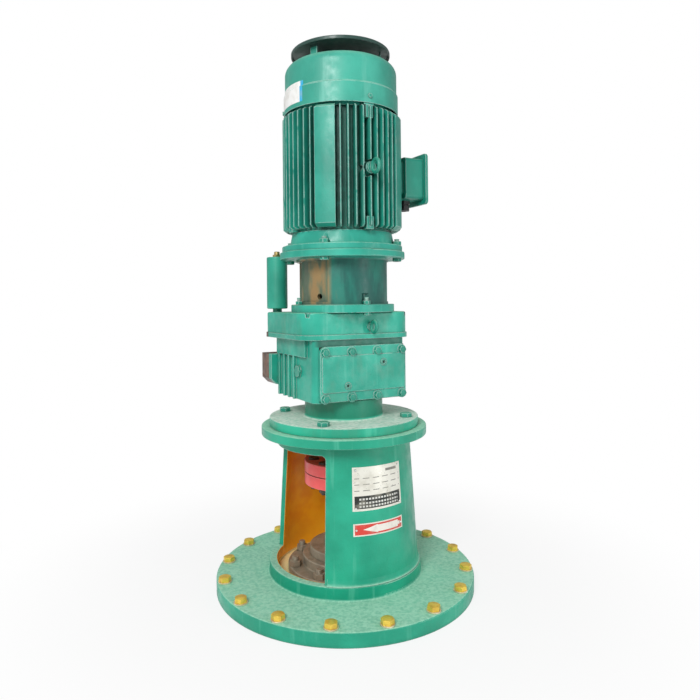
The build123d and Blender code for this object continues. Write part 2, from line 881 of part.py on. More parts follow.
with BuildPart() as cover_screws:
    for x, y in cover_screw_sites:
        seat = above(x, y, top_end - cover_bore_depth)
        pin(seat, cover_thread * 0.8, 0, cover_thread * 0.9)
        pin(seat, cover_thread / 2 - fit, cover_bore_depth - top_h - lip_t + 2.0, 0)
save(cover_screws, "cover_screws")

hatch_face = box_front + gasket_t + hatch_t
hatch_middle = (hatch_x, hatch_z + hatch_h / 2)
plug_sites = ((-40.6, box_z + 36.0), (52.0, box_z + 84.5))
plug_thread = 16.0

with BuildPart() as hatch_gasket:
    with BuildSketch(front_seat(*hatch_middle, -box_front)):
        Rectangle(2 * hatch_half - 2.0, hatch_h - 2.0)
        RectangleRounded(2 * hatch_opening_half, hatch_open_h, 8.0, mode=Mode.SUBTRACT)
    extrude(amount=gasket_t)
    for x, z in hatch_sites:
        pin(front_seat(x, z, -box_front), hatch_thread / 2, 0, gasket_t, Mode.SUBTRACT)
save(hatch_gasket, "hatch_gasket")

with BuildPart() as hatch_cover:
    with BuildSketch(front_seat(*hatch_middle, hatch_mid_y)):
        RectangleRounded(2 * hatch_half, hatch_h, hatch_corner_r)
    extrude(amount=hatch_t - 2.0)
    # a raised field between the rows of screws, and a boss under each head
    with BuildSketch(front_seat(*hatch_middle, hatch_mid_y - hatch_t + 2.0)):
        RectangleRounded(2 * hatch_half - 8.0, hatch_open_h + 2.0, 6.0)
    extrude(amount=2.0)
    for x, z in hatch_sites:
        pin(front_seat(x, z, hatch_mid_y), hatch_boss_r, 0, hatch_t)
        pin(front_seat(x, z, hatch_mid_y), hatch_thread / 2 + 0.5, 0, hatch_t, Mode.SUBTRACT)
    for x, z in plug_sites:
        pin(front_seat(x, z, hatch_mid_y), plug_thread / 2, 0, hatch_t, Mode.SUBTRACT)
save(hatch_cover, "hatch_cover")

with BuildPart() as hatch_screws:
    for x, z in hatch_sites:
        seat = front_seat(x, z, -hatch_face)
        hex_screw(seat, hatch_thread, hatch_t + gasket_t + box_wall - 4.0)
save(hatch_screws, "hatch_screws")

with BuildPart() as oil_plugs:
    for x, z in plug_sites:
        seat = front_seat(x, z, -hatch_face)
        pin(seat, plug_thread / 2 - fit, 1.0 - hatch_t, 1.5)
        with BuildSketch(seat.offset(1.5)):
            RegularPolygon(plug_thread / 4, 6)
        extrude(amount=-5.0, mode=Mode.SUBTRACT)
    # oil level plug in the side wall
    hexagon(side_plug_seat, side_plug_thread * 0.8, 0, 7.0)
    pin(side_plug_seat, side_plug_thread / 2 + 3.0, 0, 1.5)
    pin(side_plug_seat, side_plug_thread / 2 - fit, 1.0 - box_wall, 0)
save(oil_plugs, "oil_plugs")

# --------------------------------------------------------------------- gear train
output_top = top_bearing_z + top_bearing_w - 0.5
input_top = lantern_z + 64.0
input_bottom = input_low_z
lay_bottom = lay_low_z
lay_top = lay_high_z + lay_bearing_w
step_out = 360 / teeth_out / 2
step_big = 360 / teeth_lay_big / 2
input_end_r = 14.0
out_collar_r = 34.0

with BuildPart() as output_shaft:
    turned(
        [
            (0, coupling_mid + 1.0),
            (output_r, coupling_mid + 1.0),
            (output_r, out_bearing_z + out_bearing_w),
            (out_collar_r, out_bearing_z + out_bearing_w),
            (out_collar_r, gear_out_z),
            (output_r, gear_out_z),
            (output_r, top_bearing_z),
            (output_top_r, top_bearing_z),
            (output_top_r, output_top),
            (0, output_top),
        ]
    )
save(output_shaft, "output_shaft")

with BuildPart() as output_gear:
    gear_solid(teeth_out, 90.0 + step_out, gear_out_z, gear_out_w)
    ring_solid(0, output_r + fit, gear_out_z, gear_out_z + gear_out_w, 0, Mode.SUBTRACT)
save(output_gear, "output_gear")

with BuildPart() as output_spacer:
    ring_solid(output_r + fit, out_collar_r, gear_out_z + gear_out_w, top_bearing_z)
save(output_spacer, "output_spacer")

with BuildPart() as layshaft:
    small_low = gear_out_z - 3.0
    small_high = gear_out_z + gear_out_w + 3.0
    turned(
        [
            (0, lay_bottom),
            (lay_r, lay_bottom),
            (lay_r, lay_low_z + lay_bearing_w),
            (lay_mid_r, lay_low_z + lay_bearing_w),
            (lay_mid_r, gear_in_z - 5.0),
            (lay_mid_r + 4.0, gear_in_z - 5.0),
            (lay_mid_r + 4.0, gear_in_z),
            (lay_mid_r, gear_in_z),
            (lay_mid_r, gear_in_z + gear_in_w),
            (lay_r, gear_in_z + gear_in_w),
            (lay_r, lay_top),
            (0, lay_top),
        ],
        lay_y,
    )
    gear_solid(teeth_lay_small, -90.0, small_low, small_high - small_low, lay_y)
save(layshaft, "layshaft")

with BuildPart() as layshaft_gear:
    gear_solid(teeth_lay_big, -90.0 + step_big, gear_in_z, gear_in_w, lay_y)
    gear_in_top = gear_in_z + gear_in_w
    ring_solid(0, lay_mid_r + fit, gear_in_z, gear_in_top, lay_y, Mode.SUBTRACT)
save(layshaft_gear, "layshaft_gear")

with BuildPart() as input_shaft:
    ring_solid(0, input_r, input_bottom, gear_in_z - 2.0)
    gear_solid(teeth_in, 90.0, gear_in_z - 2.0, gear_in_w + 4.0)
    ring_solid(0, input_r, gear_in_z + gear_in_w + 2.0, input_high_z + input_bearing_w)
    ring_solid(0, input_end_r, input_high_z + input_bearing_w, input_top)
save(input_shaft, "input_shaft")

# ------------------------------------------------------------------------ lantern
lantern_floor = lantern_z + lantern_low_t
lantern_flange_z = lantern_end - lantern_top_t
input_seal_r = input_end_r + ring_t + 2.0
input_seal_z = lantern_z + 4.0
pocket_low = lantern_floor + 6.0
pocket_high = lantern_flange_z - 6.0

with BuildPart() as lantern:
    turned(
        [
            (input_end_r + 3.0, lantern_z - 2.0 + fit),
            (input_bearing_r - fit, lantern_z - 2.0 + fit),
            (input_bearing_r - fit, lantern_z),
            (lantern_low_r, lantern_z),
            (lantern_low_r, lantern_floor),
            (lantern_r, lantern_floor),
            (lantern_r, lantern_flange_z),
            (lantern_top_r, lantern_flange_z),
            (lantern_top_r, lantern_end),
            (motor_spigot_r, lantern_end),
            (motor_spigot_r, lantern_end - motor_spigot_h - air),
            (lantern_bore_r, lantern_end - motor_spigot_h - air),
            (lantern_bore_r, lantern_floor),
            (input_seal_r, lantern_floor),
            (input_seal_r, input_seal_z),
            (input_end_r + 3.0, input_seal_z),
        ]
    )
    fillet(rims(lantern, lantern_r, lantern_flange_z), 5.0)
    fillet(rims(lantern, lantern_top_r), 2.0)
    fillet(rims(lantern, lantern_low_r, lantern_floor), 2.0)
    for facing in (0.0, 180.0):
        with BuildSketch(Plane.XY.offset(pocket_low)) as pocket:
            wedge(lantern_pocket_r * 0.5, lantern_r * 1.6, facing, pocket_half)
            Circle(lantern_pocket_r, mode=Mode.SUBTRACT)
        extrude(amount=pocket_high - pocket_low, mode=Mode.SUBTRACT)
    pin(outward(0, -150.0, lantern_floor + 18.0), drain_r, 0, lantern_r, Mode.SUBTRACT)
    for seat in seats(lantern_pcd_r, quarters, lantern_z):
        pin(seat, lantern_thread / 2 + 0.5, 0, lantern_low_t, Mode.SUBTRACT)
        # spot face that lets the nut stand beside the body
        pin(seat, lantern_thread, lantern_low_t, lantern_low_t + 24.0, Mode.SUBTRACT)
    for seat in seats(motor_pcd_r, diagonals, lantern_flange_z):
        pin(seat, motor_thread / 2 + 0.5, 0, lantern_top_t, Mode.SUBTRACT)
save(lantern, "lantern")

with BuildPart() as lantern_studs:
    stud_high = lantern_low_t + nut_h(lantern_thread) + 8.0
    for seat in seats(lantern_pcd_r, (0.0, 90.0, 180.0), lantern_z):
        pin(seat, lantern_thread / 2 - fit, 2.5 - top_wall, stud_high)
        hexagon(seat.offset(lantern_low_t), lantern_thread, 0, nut_h(lantern_thread))
    for seat in seats(lantern_pcd_r, (-90.0,), lantern_z):
        hexagon(seat.offset(-head_h(lantern_thread)), lantern_thread, 0, head_h(lantern_thread))
        pin(seat, lantern_thread / 2 - fit, 0, stud_high)
        hexagon(seat.offset(lantern_low_t), lantern_thread, 0, nut_h(lantern_thread))
save(lantern_studs, "lantern_studs")

# jaw coupling: each hub carries three jaws, and the spider's lobes lie between them
jaw_face = input_top + 1.0
jaw_top_face = jaw_face + jaw_h
jaw_inner_r = 25.0
jaw_half = 30.0 - lobe_half - 0.6


def jaws(angles, low, high):
    with BuildSketch(Plane.XY.offset(low)) as section:
        for angle in angles:
            wedge(jaw_inner_r * 0.7, jaw_r * 1.5, angle, jaw_half)
        Circle(jaw_r, mode=Mode.INTERSECT)
        Circle(jaw_inner_r, mode=Mode.SUBTRACT)
    extrude(section.sketch, amount=high - low)


with BuildPart() as jaw_hub_lower:
    hub_bottom = jaw_face - jaw_hub_h
    ring_solid(input_end_r + fit, jaw_hub_r, hub_bottom, jaw_face - 14.0)
    ring_solid(input_end_r + fit, jaw_r, jaw_face - 14.0, jaw_face)
    jaws(spread(3, 0.0), jaw_face, jaw_top_face - 1.0)
save(jaw_hub_lower, "jaw_hub_lower")

with BuildPart() as jaw_hub_upper:
    ring_solid(motor_stub_r + fit, jaw_r, jaw_top_face, jaw_top_face + 14.0)
    hub_top = jaw_top_face + jaw_hub_h
    ring_solid(motor_stub_r + fit, jaw_hub_r, jaw_top_face + 14.0, hub_top)
    jaws(spread(3, 60.0), jaw_face + 1.0, jaw_top_face)
save(jaw_hub_upper, "jaw_hub_upper")

with BuildPart() as jaw_spider:
    ring_solid(jaw_inner_r - 9.0, jaw_inner_r - air, jaw_face + 1.0, jaw_top_face - 1.0)
    with BuildSketch(Plane.XY.offset(jaw_face + 1.0)):
        for angle in spread(6, 30.0):
            wedge(jaw_inner_r * 0.7, jaw_r * 1.3, angle, lobe_half)
        Circle(jaw_r - 1.0, mode=Mode.INTERSECT)
        Circle(jaw_inner_r - 4.0, mode=Mode.SUBTRACT)
    extrude(amount=jaw_h - 2.0)
save(jaw_spider, "jaw_spider")

# -------------------------------------------------------------------------- motor
bearing_low_z = lantern_end + 9.0
bearing_high_z = frame_end - 15.0
shield_taper = 3.0
hollow_r = frame_bore_r - 10.0
boss_r = bearing_r + 11.0

with BuildPart() as drive_end_shield:
    turned(
        [
            (motor_journal_r + 3.0, lantern_end - motor_spigot_h),
            (motor_spigot_r - fit, lantern_end - motor_spigot_h),
            (motor_spigot_r - fit, lantern_end),
            (motor_flange_r, lantern_end),
            (motor_flange_r, shield_z),
            (shield_r + shield_taper, shield_z),
            (shield_r - shield_taper, frame_z),
            (frame_bore_r - fit, frame_z),
            (frame_bore_r - fit, frame_z + motor_spigot_h),
            (hollow_r, frame_z + motor_spigot_h),
            (hollow_r, shield_z + 6.0),
            (boss_r, shield_z + 6.0),
            (boss_r, bearing_low_z + bearing_w),
            (bearing_r, bearing_low_z + bearing_w),
            (bearing_r, bearing_low_z),
            (motor_journal_r + 3.0, bearing_low_z),
        ]
    )
    fillet(rims(drive_end_shield, shield_r + shield_taper, shield_z), 4.0)
    fillet(rims(drive_end_shield, motor_flange_r), 1.5)
    for seat in seats(motor_pcd_r, diagonals, lantern_end):
        pin(seat, motor_thread / 2 + 0.5, 0, motor_flange_t, Mode.SUBTRACT)
        # room for the nut beside the shield
        pin(seat, motor_thread * 1.1, motor_flange_t, motor_flange_t + 26.0, Mode.SUBTRACT)
save(drive_end_shield, "drive_end_shield")

with BuildPart() as motor_bolts:
    for seat in seats(motor_pcd_r, diagonals, lantern_flange_z):
        hexagon(seat.offset(-head_h(motor_thread)), motor_thread, 0, head_h(motor_thread))
        grip = lantern_top_t + motor_flange_t
        pin(seat, motor_thread / 2 - fit, 0, grip + nut_h(motor_thread) + 5.0)
        hexagon(seat.offset(grip), motor_thread, 0, nut_h(motor_thread))
save(motor_bolts, "motor_bolts")

fin_angles = [
    a
    for a in spread(fin_count, 360 / fin_count / 2)
    if all(
        abs((a - middle + 180) % 360 - 180) > pad_half + 1.5
        for middle in (pad_angle, 180 - pad_angle, 180 + pad_angle, -pad_angle)
    )
]
fin_z = frame_z + fin_low
tbox_mid_z = frame_z + tbox_z
eye_z = frame_z + motor_eye_h
eye_boss_r = 13.0

with BuildPart() as motor_frame:
    ring_solid(frame_bore_r, frame_r, frame_z, frame_end)
    # drafted cooling fins
    with BuildSketch(Plane.XY.offset(fin_z)) as fins:
        for angle in fin_angles:
            with Locations(Location((0, 0, 0), (0, 0, angle))):
                Polygon(
                    (frame_r - 1.0, -fin_root_w / 2),
                    (fin_tip_r, -fin_tip_w / 2),
                    (fin_tip_r, fin_tip_w / 2),
                    (frame_r - 1.0, fin_root_w / 2),
                    align=None,
                )
    extrude(amount=frame_end - fin_z)
    # four long pads, each of two thick ribs with a web between them
    with BuildSketch(Plane.XY.offset(fin_z)) as pads:
        for angle in (pad_angle, 180 - pad_angle, 180 + pad_angle, -pad_angle):
            wedge(frame_r * 0.98, pad_r * 1.2, angle, pad_half)
        Circle(pad_r, mode=Mode.INTERSECT)
        Circle(frame_r - 1.0, mode=Mode.SUBTRACT)
    extrude(amount=frame_end - fin_z)
    # their ends slope in towards the body
    for end, into in ((fin_z, fin_slope_h), (frame_end, -fin_slope_h)):
        turned(
            [
                (pad_r - fin_slope_w, end - into * 0.1),
                (pad_r + 1.0, end - into * 0.1),
                (pad_r + 1.0, end + into),
            ],
            mode=Mode.SUBTRACT,
        )
    # lugs for the tie bolts at both ends
    for low in (frame_z, frame_end - lug_h):
        with BuildSketch(Plane.XY.offset(low)):
            with PolarLocations((frame_r + lug_r) / 2 - 1.0, 4, 0):
                Rectangle(lug_r - frame_r + 2.0, lug_w)
        extrude(amount=lug_h)
    # the neck and floor that the terminal box stands on
    with BuildSketch(outward(tbox_in, 0.0, tbox_mid_z)):
        RectangleRounded(2 * neck_half, 2 * neck_half, 6.0)
    extrude(amount=frame_r - tbox_in - 2.0)
    pin(outward(0, 0.0, tbox_mid_z), 18.0, frame_bore_r - 4.0, tbox_in, Mode.SUBTRACT)
    # boss of the lifting eye
    pin(outward(0, -90.0, eye_z), eye_boss_r + 5.0, frame_r, pad_r, Mode.SUBTRACT)
    pin(outward(0, -90.0, eye_z), eye_boss_r, frame_r - 1.0, fin_tip_r)
    pin(outward(0, -90.0, eye_z), 6.0, frame_r + 2.0, fin_tip_r, Mode.SUBTRACT)
save(motor_frame, "motor_frame")

with BuildPart() as motor_eye:
    eye_bolt(outward(fin_tip_r, -90.0, eye_z), 14.0, 4.0, 12.0, 18.0)
save(motor_eye, "motor_eye")

stack_z = frame_z + stack_low
rotor_r = stator_bore_r - air_gap

with BuildPart() as stator_core:
    ring_solid(stator_bore_r, frame_bore_r - air, stack_z, stack_z + stack_h)
save(stator_core, "stator_core")

with BuildPart() as stator_windings:
    for low in (stack_z - winding_h, stack_z + stack_h):
        ring_solid(stator_bore_r + 5.0, frame_bore_r - 5.0, low, low + winding_h)
save(stator_windings, "stator_windings")

with BuildPart() as rotor_core:
    ring_solid(motor_shaft_r + fit, rotor_r, stack_z, stack_z + stack_h)
    for low in (stack_z - end_ring_h, stack_z + stack_h):
        ring_solid(rotor_r - 24.0, rotor_r - 2.0, low, low + end_ring_h)
save(rotor_core, "rotor_core")

fan_z = cowl_z + rear_arm_h
fan_bore_r = 17.0

with BuildPart() as motor_shaft:
    stub_end = lantern_end - motor_stub_len
    journal_end = bearing_low_z + bearing_w
    fan_seat_z = bearing_high_z + bearing_w
    turned(
        [
            (0, stub_end),
            (motor_stub_r, stub_end),
            (motor_stub_r, lantern_end),
            (motor_journal_r, lantern_end),
            (motor_journal_r, journal_end),
            (motor_shaft_r, journal_end),
            (motor_shaft_r, bearing_high_z),
            (motor_journal_r, bearing_high_z),
            (motor_journal_r, fan_seat_z),
            (fan_bore_r, fan_seat_z),
            (fan_bore_r, fan_z + fan_h),
            (0, fan_z + fan_h),
        ]
    )
save(motor_shaft, "motor_shaft")

arm_angles = (-90.0, 30.0, 150.0)
cowl_in_r = cowl_low_r - cowl_wall
screw_z = cowl_z + 15.0
cowl_thread = 6.0

with BuildPart() as rear_shield:
    turned(
        [
            (motor_journal_r + 3.0, bearing_high_z + bearing_w),
            (motor_journal_r + 3.0, frame_end + rear_shield_h),
            (shield_r, frame_end + rear_shield_h),
            (shield_r, frame_end),
            (frame_bore_r - fit, frame_end),
            (frame_bore_r - fit, frame_end - motor_spigot_h),
            (hollow_r, frame_end - motor_spigot_h),
            (hollow_r, frame_end + 6.0),
            (boss_r, frame_end + 6.0),
            (boss_r, bearing_high_z),
            (bearing_r, bearing_high_z),
            (bearing_r, bearing_high_z + bearing_w),
        ]
    )
    with BuildSketch(Plane.XY.offset(frame_end)) as arms:
        for angle in arm_angles:
            with Locations(Location((0, 0, 0), (0, 0, angle))):
                with Locations((cowl_in_r - 12.0, 0)):
                    Rectangle(24.0, rear_arm_w)
        Circle(cowl_in_r - air, mode=Mode.INTERSECT)
    extrude(amount=rear_arm_h)
    for angle in arm_angles:
        seat = outward(cowl_in_r, angle, screw_z)
        pin(seat, cowl_thread / 2, -16.0, 0, Mode.SUBTRACT)
save(rear_shield, "rear_shield")

with BuildPart() as cooling_fan:
    ring_solid(fan_bore_r + fit, 30.0, fan_z, fan_z + fan_h)
    ring_solid(29.0, fan_r, fan_z, fan_z + 3.0)
    with BuildSketch(Plane.XY.offset(fan_z + 3.0)):
        with PolarLocations((fan_r + 28.0) / 2, fan_blades):
            Rectangle(fan_r - 30.0, 3.0)
    extrude(amount=fan_h - 6.0)
save(cooling_fan, "cooling_fan")

with BuildPart() as fan_cowl:
    turned(
        [
            (0, cowl_z),
            (cowl_low_r, cowl_z),
            (cowl_low_r, cowl_z + cowl_step_h - 2.0),
            (cowl_up_r, cowl_z + cowl_step_h + 1.0),
            (cowl_up_r, cowl_end),
            (0, cowl_end),
        ]
    )
    fillet(rims(fan_cowl, cowl_up_r, cowl_end), cowl_shoulder_r)
    offset(amount=-cowl_wall, openings=fan_cowl.faces().sort_by(Axis.Z)[0])
    # guard of rings and spokes over the fan's eye
    guard_z = cowl_end - cowl_wall
    ring_solid(0, cowl_eye_r, guard_z, cowl_end, 0, Mode.SUBTRACT)
    for guard_r in guard_radii:
        ring_solid(guard_r - guard_w / 2, guard_r + guard_w / 2, guard_z, cowl_end)
    with BuildSketch(Plane.XY.offset(guard_z)):
        with PolarLocations((cowl_eye_r + guard_radii[0]) / 2, 4, 45.0):
            Rectangle(cowl_eye_r - guard_radii[0] + 2.0, guard_w)
    extrude(amount=cowl_wall)
    for angle in arm_angles:
        seat = outward(cowl_in_r, angle, screw_z)
        pin(seat, cowl_thread / 2 + 0.5, -2.0, cowl_wall + 2.0, Mode.SUBTRACT)
save(fan_cowl, "fan_cowl")

# three straps, welded to the rain cap, stand on the top of the cowl
with BuildPart() as rain_cap:
    turned(
        [
            (0, cap_z + cap_h - cap_plate_t),
            (cap_r - cap_plate_t, cap_z + cap_h - cap_plate_t),
            (cap_r - cap_plate_t, cap_z),
            (cap_r, cap_z),
            (cap_r, cap_z + cap_h),
            (0, cap_z + cap_h),
        ]
    )
    fillet(rims(rain_cap, cap_r, cap_z + cap_h), 2.0)
    for angle in strut_angles:
        strap = half_plane(angle)
        with BuildSketch(strap) as side_view:
            with BuildLine():
                Polyline(
                    (strut_r, cap_z + cap_h - cap_plate_t),
                    (strut_r, cowl_end + strut_t),
                    (strut_r - strut_foot, cowl_end + strut_t),
                    (strut_r - strut_foot, cowl_end),
                    (strut_r + strut_t, cowl_end),
                    (strut_r + strut_t, cap_z + cap_h - cap_plate_t),
                    close=True,
                )
            make_face()
        extrude(amount=strut_w / 2, both=True)
save(rain_cap, "rain_cap")

# ------------------------------------------------------------------- terminal box
tbox_floor_t = 5.0
post_r = 7.0
post_at = tbox_half - post_r - 1.0
lid_thread = 6.0
gland_x = (tbox_in + tbox_out) / 2
gland_wall_z = tbox_mid_z - tbox_half


def side_seat(x, y, z):
    """Plane that faces +X, with local x along +Y."""
    return Plane(origin=(x, y, z), x_dir=(0, 1, 0), z_dir=(1, 0, 0))


post_sites = [(y, tbox_mid_z + z) for y in (-post_at, post_at) for z in (-post_at, post_at)]

with BuildPart() as terminal_box:
    with BuildSketch(side_seat(tbox_in, 0, tbox_mid_z)):
        RectangleRounded(2 * tbox_half, 2 * tbox_half, 8.0)
    extrude(amount=tbox_out - tbox_in)
    with BuildSketch(side_seat(tbox_in + tbox_floor_t, 0, tbox_mid_z)):
        inner_half = tbox_half - tbox_wall
        RectangleRounded(2 * inner_half, 2 * inner_half, 5.0)
        with GridLocations(2 * post_at, 2 * post_at, 2, 2):
            Circle(post_r, mode=Mode.SUBTRACT)
    extrude(amount=tbox_out - tbox_in - tbox_floor_t, mode=Mode.SUBTRACT)
    pin(side_seat(tbox_in, 0, tbox_mid_z), 18.0, 0, tbox_floor_t, Mode.SUBTRACT)
    for y, z in post_sites:
        pin(side_seat(tbox_out, y, z), lid_thread / 2, -20.0, 0, Mode.SUBTRACT)
    gland_seat = Plane(origin=(gland_x, 0, gland_wall_z), z_dir=(0, 0, 1))
    pin(gland_seat, gland_z_r, 0, tbox_wall, Mode.SUBTRACT)
save(terminal_box, "terminal_box")

with BuildPart() as terminal_lid:
    with BuildSketch(side_seat(tbox_out, 0, tbox_mid_z)):
        RectangleRounded(2 * lid_half_y, 2 * lid_half_z, 8.0)
    extrude(amount=lid_t)
    chamfer(terminal_lid.faces().sort_by(Axis.X)[-1].edges(), 2.0)
    for y, z in post_sites:
        pin(side_seat(tbox_out, y, z), lid_thread / 2 + 0.5, 0, lid_t, Mode.SUBTRACT)
save(terminal_lid, "terminal_lid")

# the same small screws hold the lid of the terminal box and the fan cowl
with BuildPart() as small_screws:
    for y, z in post_sites:
        hex_screw(side_seat(tbox_out + lid_t, y, z), lid_thread, lid_t + 16.0)
    for angle in arm_angles:
        hex_screw(outward(cowl_low_r, angle, screw_z), cowl_thread, 14.0)
save(small_screws, "small_screws")

with BuildPart() as terminal_block:
    block_z = tbox_in + tbox_floor_t
    with BuildSketch(side_seat(block_z, 0, tbox_mid_z + 24.0)):
        Rectangle(64.0, 22.0)
    extrude(amount=14.0)
    with BuildSketch(side_seat(block_z + 14.0, 0, tbox_mid_z + 24.0)):
        with GridLocations(20.0, 12.0, 3, 2):
            Circle(2.5)
    extrude(amount=12.0)
save(terminal_block, "terminal_block")

# inlet for the supply cable, in the lower wall of the terminal box
with BuildPart() as cable_gland:
    pin(gland_seat, gland_z_r - fit, -entry_len + 6.0, tbox_wall + 2.0)
    hexagon(gland_seat, 20.0, -8.0, 0)
    hexagon(gland_seat, 18.0, -entry_len + 6.0, -12.0)
    pin(gland_seat, cable_r, -entry_len + 6.0, tbox_wall + 2.0, Mode.SUBTRACT)
save(cable_gland, "cable_gland")

# ---------------------------------------------------------------- expansion tank
tank_z = top_end + tank_stand
tank_top = tank_z + tank_h
nipple_r = 8.0
nipple_bore_r = 4.0


def over_tank(z):
    return Plane(origin=(tank_x, tank_y, z), z_dir=(0, 0, 1))


with BuildPart() as expansion_tank:
    pin(over_tank(tank_z), tank_r, 0, tank_h)
    fillet(expansion_tank.edges().filter_by(GeomType.CIRCLE), 3.0)
    pin(over_tank(tank_z), tank_r - tank_wall, tank_wall, tank_h - tank_wall, Mode.SUBTRACT)
    hexagon(over_tank(top_end), 14.0, 0, tank_stand)
    pin(over_tank(top_end), nipple_bore_r, 0, tank_stand + tank_wall, Mode.SUBTRACT)
    pin(over_tank(tank_top), nipple_r, -tank_wall, 0, Mode.SUBTRACT)
save(expansion_tank, "expansion_tank")

with BuildPart() as breather_plug:
    pin(over_tank(tank_top), nipple_r - fit, -tank_wall, 0)
    hexagon(over_tank(tank_top), 13.0, 0, 6.0)
    pin(over_tank(tank_top), 7.0, 6.0, 14.0)
    chamfer(breather_plug.faces().sort_by(Axis.Z)[-1].edges(), 1.5)
save(breather_plug, "breather_plug")

with BuildPart() as reducer_eye:
    eye_bolt(eye_seat, 12.0, 4.0, eye_thread, eye_depth - 0.5)
save(reducer_eye, "reducer_eye")

# ---------------------------------------------------------------- bearings, seals
# (lower end, width, bore, outer radius, y)
out_bearings = [
    (stub_bearing_z, stub_bearing_w, stub_r, stub_bearing_r, 0.0),
    (out_bearing_z, out_bearing_w, output_r, out_bearing_r, 0.0),
    (top_bearing_z, top_bearing_w, output_top_r, top_bearing_r, 0.0),
]
in_bearings = [
    (input_low_z, input_bearing_w, input_r, input_bearing_r, 0.0),
    (input_high_z, input_bearing_w, input_r, input_bearing_r, 0.0),
    (bearing_low_z, bearing_w, motor_journal_r, bearing_r, 0.0),
    (bearing_high_z, bearing_w, motor_journal_r, bearing_r, 0.0),
]
lay_bearings = [
    (lay_low_z, lay_bearing_w, lay_r, lay_bearing_r, lay_y),
    (lay_high_z, lay_bearing_w, lay_r, lay_bearing_r, lay_y),
]

with BuildPart() as bearing_outer_rings:
    for low, width, bore_r, outer_r, y in out_bearings + in_bearings + lay_bearings:
        bearing_outer(low, width, bore_r, outer_r, y)
save(bearing_outer_rings, "bearing_outer_rings")

for piece_name, bearings in (
    ("output_bearing_inners", out_bearings),
    ("input_bearing_inners", in_bearings),
    ("layshaft_bearing_inners", lay_bearings),
):
    with BuildPart() as inner_rings:
        for low, width, bore_r, outer_r, y in bearings:
            bearing_inner(low, width, bore_r, outer_r, y)
    save(inner_rings, piece_name)

seal_play = 0.1
with BuildPart() as shaft_seals:
    ring_solid(stub_r + seal_play, stub_bearing_r - fit, base_t + 4.0, base_t + 16.0)
    ring_solid(output_r + seal_play, out_seal_r - fit, out_seal_z, out_seal_z + lip_seal_h)
    seal_high = input_seal_z + lip_seal_h
    ring_solid(input_end_r + seal_play, input_seal_r - fit, input_seal_z, seal_high)
save(shaft_seals, "shaft_seals")
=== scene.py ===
# %% [markdown]
# # The drive of a tank agitator
#
# A geared motor stands upright on a cast stand, and the stand is bolted to the
# nozzle of a tank. The solids come from CAD and are loaded here as a fixed
# frame. This script gives them their paint, dust and bare metal, and models the
# fasteners and the sheet plates more finely than the solids have them.

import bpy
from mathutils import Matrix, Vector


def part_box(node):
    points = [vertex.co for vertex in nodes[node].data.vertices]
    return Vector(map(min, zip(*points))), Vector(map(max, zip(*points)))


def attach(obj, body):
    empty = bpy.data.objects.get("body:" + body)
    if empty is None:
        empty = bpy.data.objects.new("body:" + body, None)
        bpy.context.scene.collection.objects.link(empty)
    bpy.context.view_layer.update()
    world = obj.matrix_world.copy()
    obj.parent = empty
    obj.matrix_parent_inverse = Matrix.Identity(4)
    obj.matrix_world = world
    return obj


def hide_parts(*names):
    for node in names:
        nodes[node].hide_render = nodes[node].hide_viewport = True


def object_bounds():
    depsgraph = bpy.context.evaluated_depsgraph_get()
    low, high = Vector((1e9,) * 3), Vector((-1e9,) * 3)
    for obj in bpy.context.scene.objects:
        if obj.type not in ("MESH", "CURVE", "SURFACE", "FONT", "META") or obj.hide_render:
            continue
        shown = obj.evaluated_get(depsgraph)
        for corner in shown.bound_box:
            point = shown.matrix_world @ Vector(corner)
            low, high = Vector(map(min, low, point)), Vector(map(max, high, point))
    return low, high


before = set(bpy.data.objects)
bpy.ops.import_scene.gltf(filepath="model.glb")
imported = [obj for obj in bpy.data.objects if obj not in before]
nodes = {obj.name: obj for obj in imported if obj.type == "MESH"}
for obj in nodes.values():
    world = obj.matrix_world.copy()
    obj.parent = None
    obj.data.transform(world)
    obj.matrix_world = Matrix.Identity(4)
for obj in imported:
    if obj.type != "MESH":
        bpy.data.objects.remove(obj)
cad_low, cad_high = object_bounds()
print("solids:", len(nodes), "height of the machine in m:", round(cad_high.z, 3))

# %% Tools
from math import asin, atan2, cos, hypot, pi, radians, sin

import bmesh
import bpy
import numpy as np
from mathutils import Matrix, Vector

mm = 0.001
scene = bpy.context.scene

# %% [markdown]
# ## The camera
#
# It stands level at the height of the gearbox and looks at the machine's axis
# from the side of the larger window. Its lens is a little wide, so the tank
# flange shows its top and the rain cap its underside. The shift frames the whole
# machine without tilting the camera, which would make the uprights lean.

# %% Camera
camera_distance = 1.4676
camera_height = 0.6587
camera_turn = radians(-28.0)
camera_roll = radians(-0.543)

camera_data = bpy.data.cameras.new("camera")
camera_data.sensor_width = 36.0
camera_data.lens = 31.71
camera_data.shift_x = 0.0105
camera_data.shift_y = -0.070
camera_data.clip_end = 60.0
camera = bpy.data.objects.new("camera", camera_data)
scene.collection.objects.link(camera)
camera.matrix_world = (
    Matrix.Rotation(camera_turn, 4, "Z")
    @ Matrix.Translation((0, -camera_distance, camera_height))
    @ Matrix.Rotation(radians(90), 4, "X")
    @ Matrix.Rotation(camera_roll, 4, "Z")
)
scene.camera = camera
scene.view_settings.view_transform = "Standard"
print("camera at", tuple(round(c, 3) for c in camera.matrix_world.translation))

# %% [markdown]
# ## Materials from nodes
#
# Each finish is a small tree of shader nodes. A few helpers keep the trees
# readable: one adds a node and plugs in its values, one blends two colours, and
# one turns a noise into a mask. Patterns read Object coordinates, which are in
# metres here, so a scale of 300 gives grains of about 3 mm.

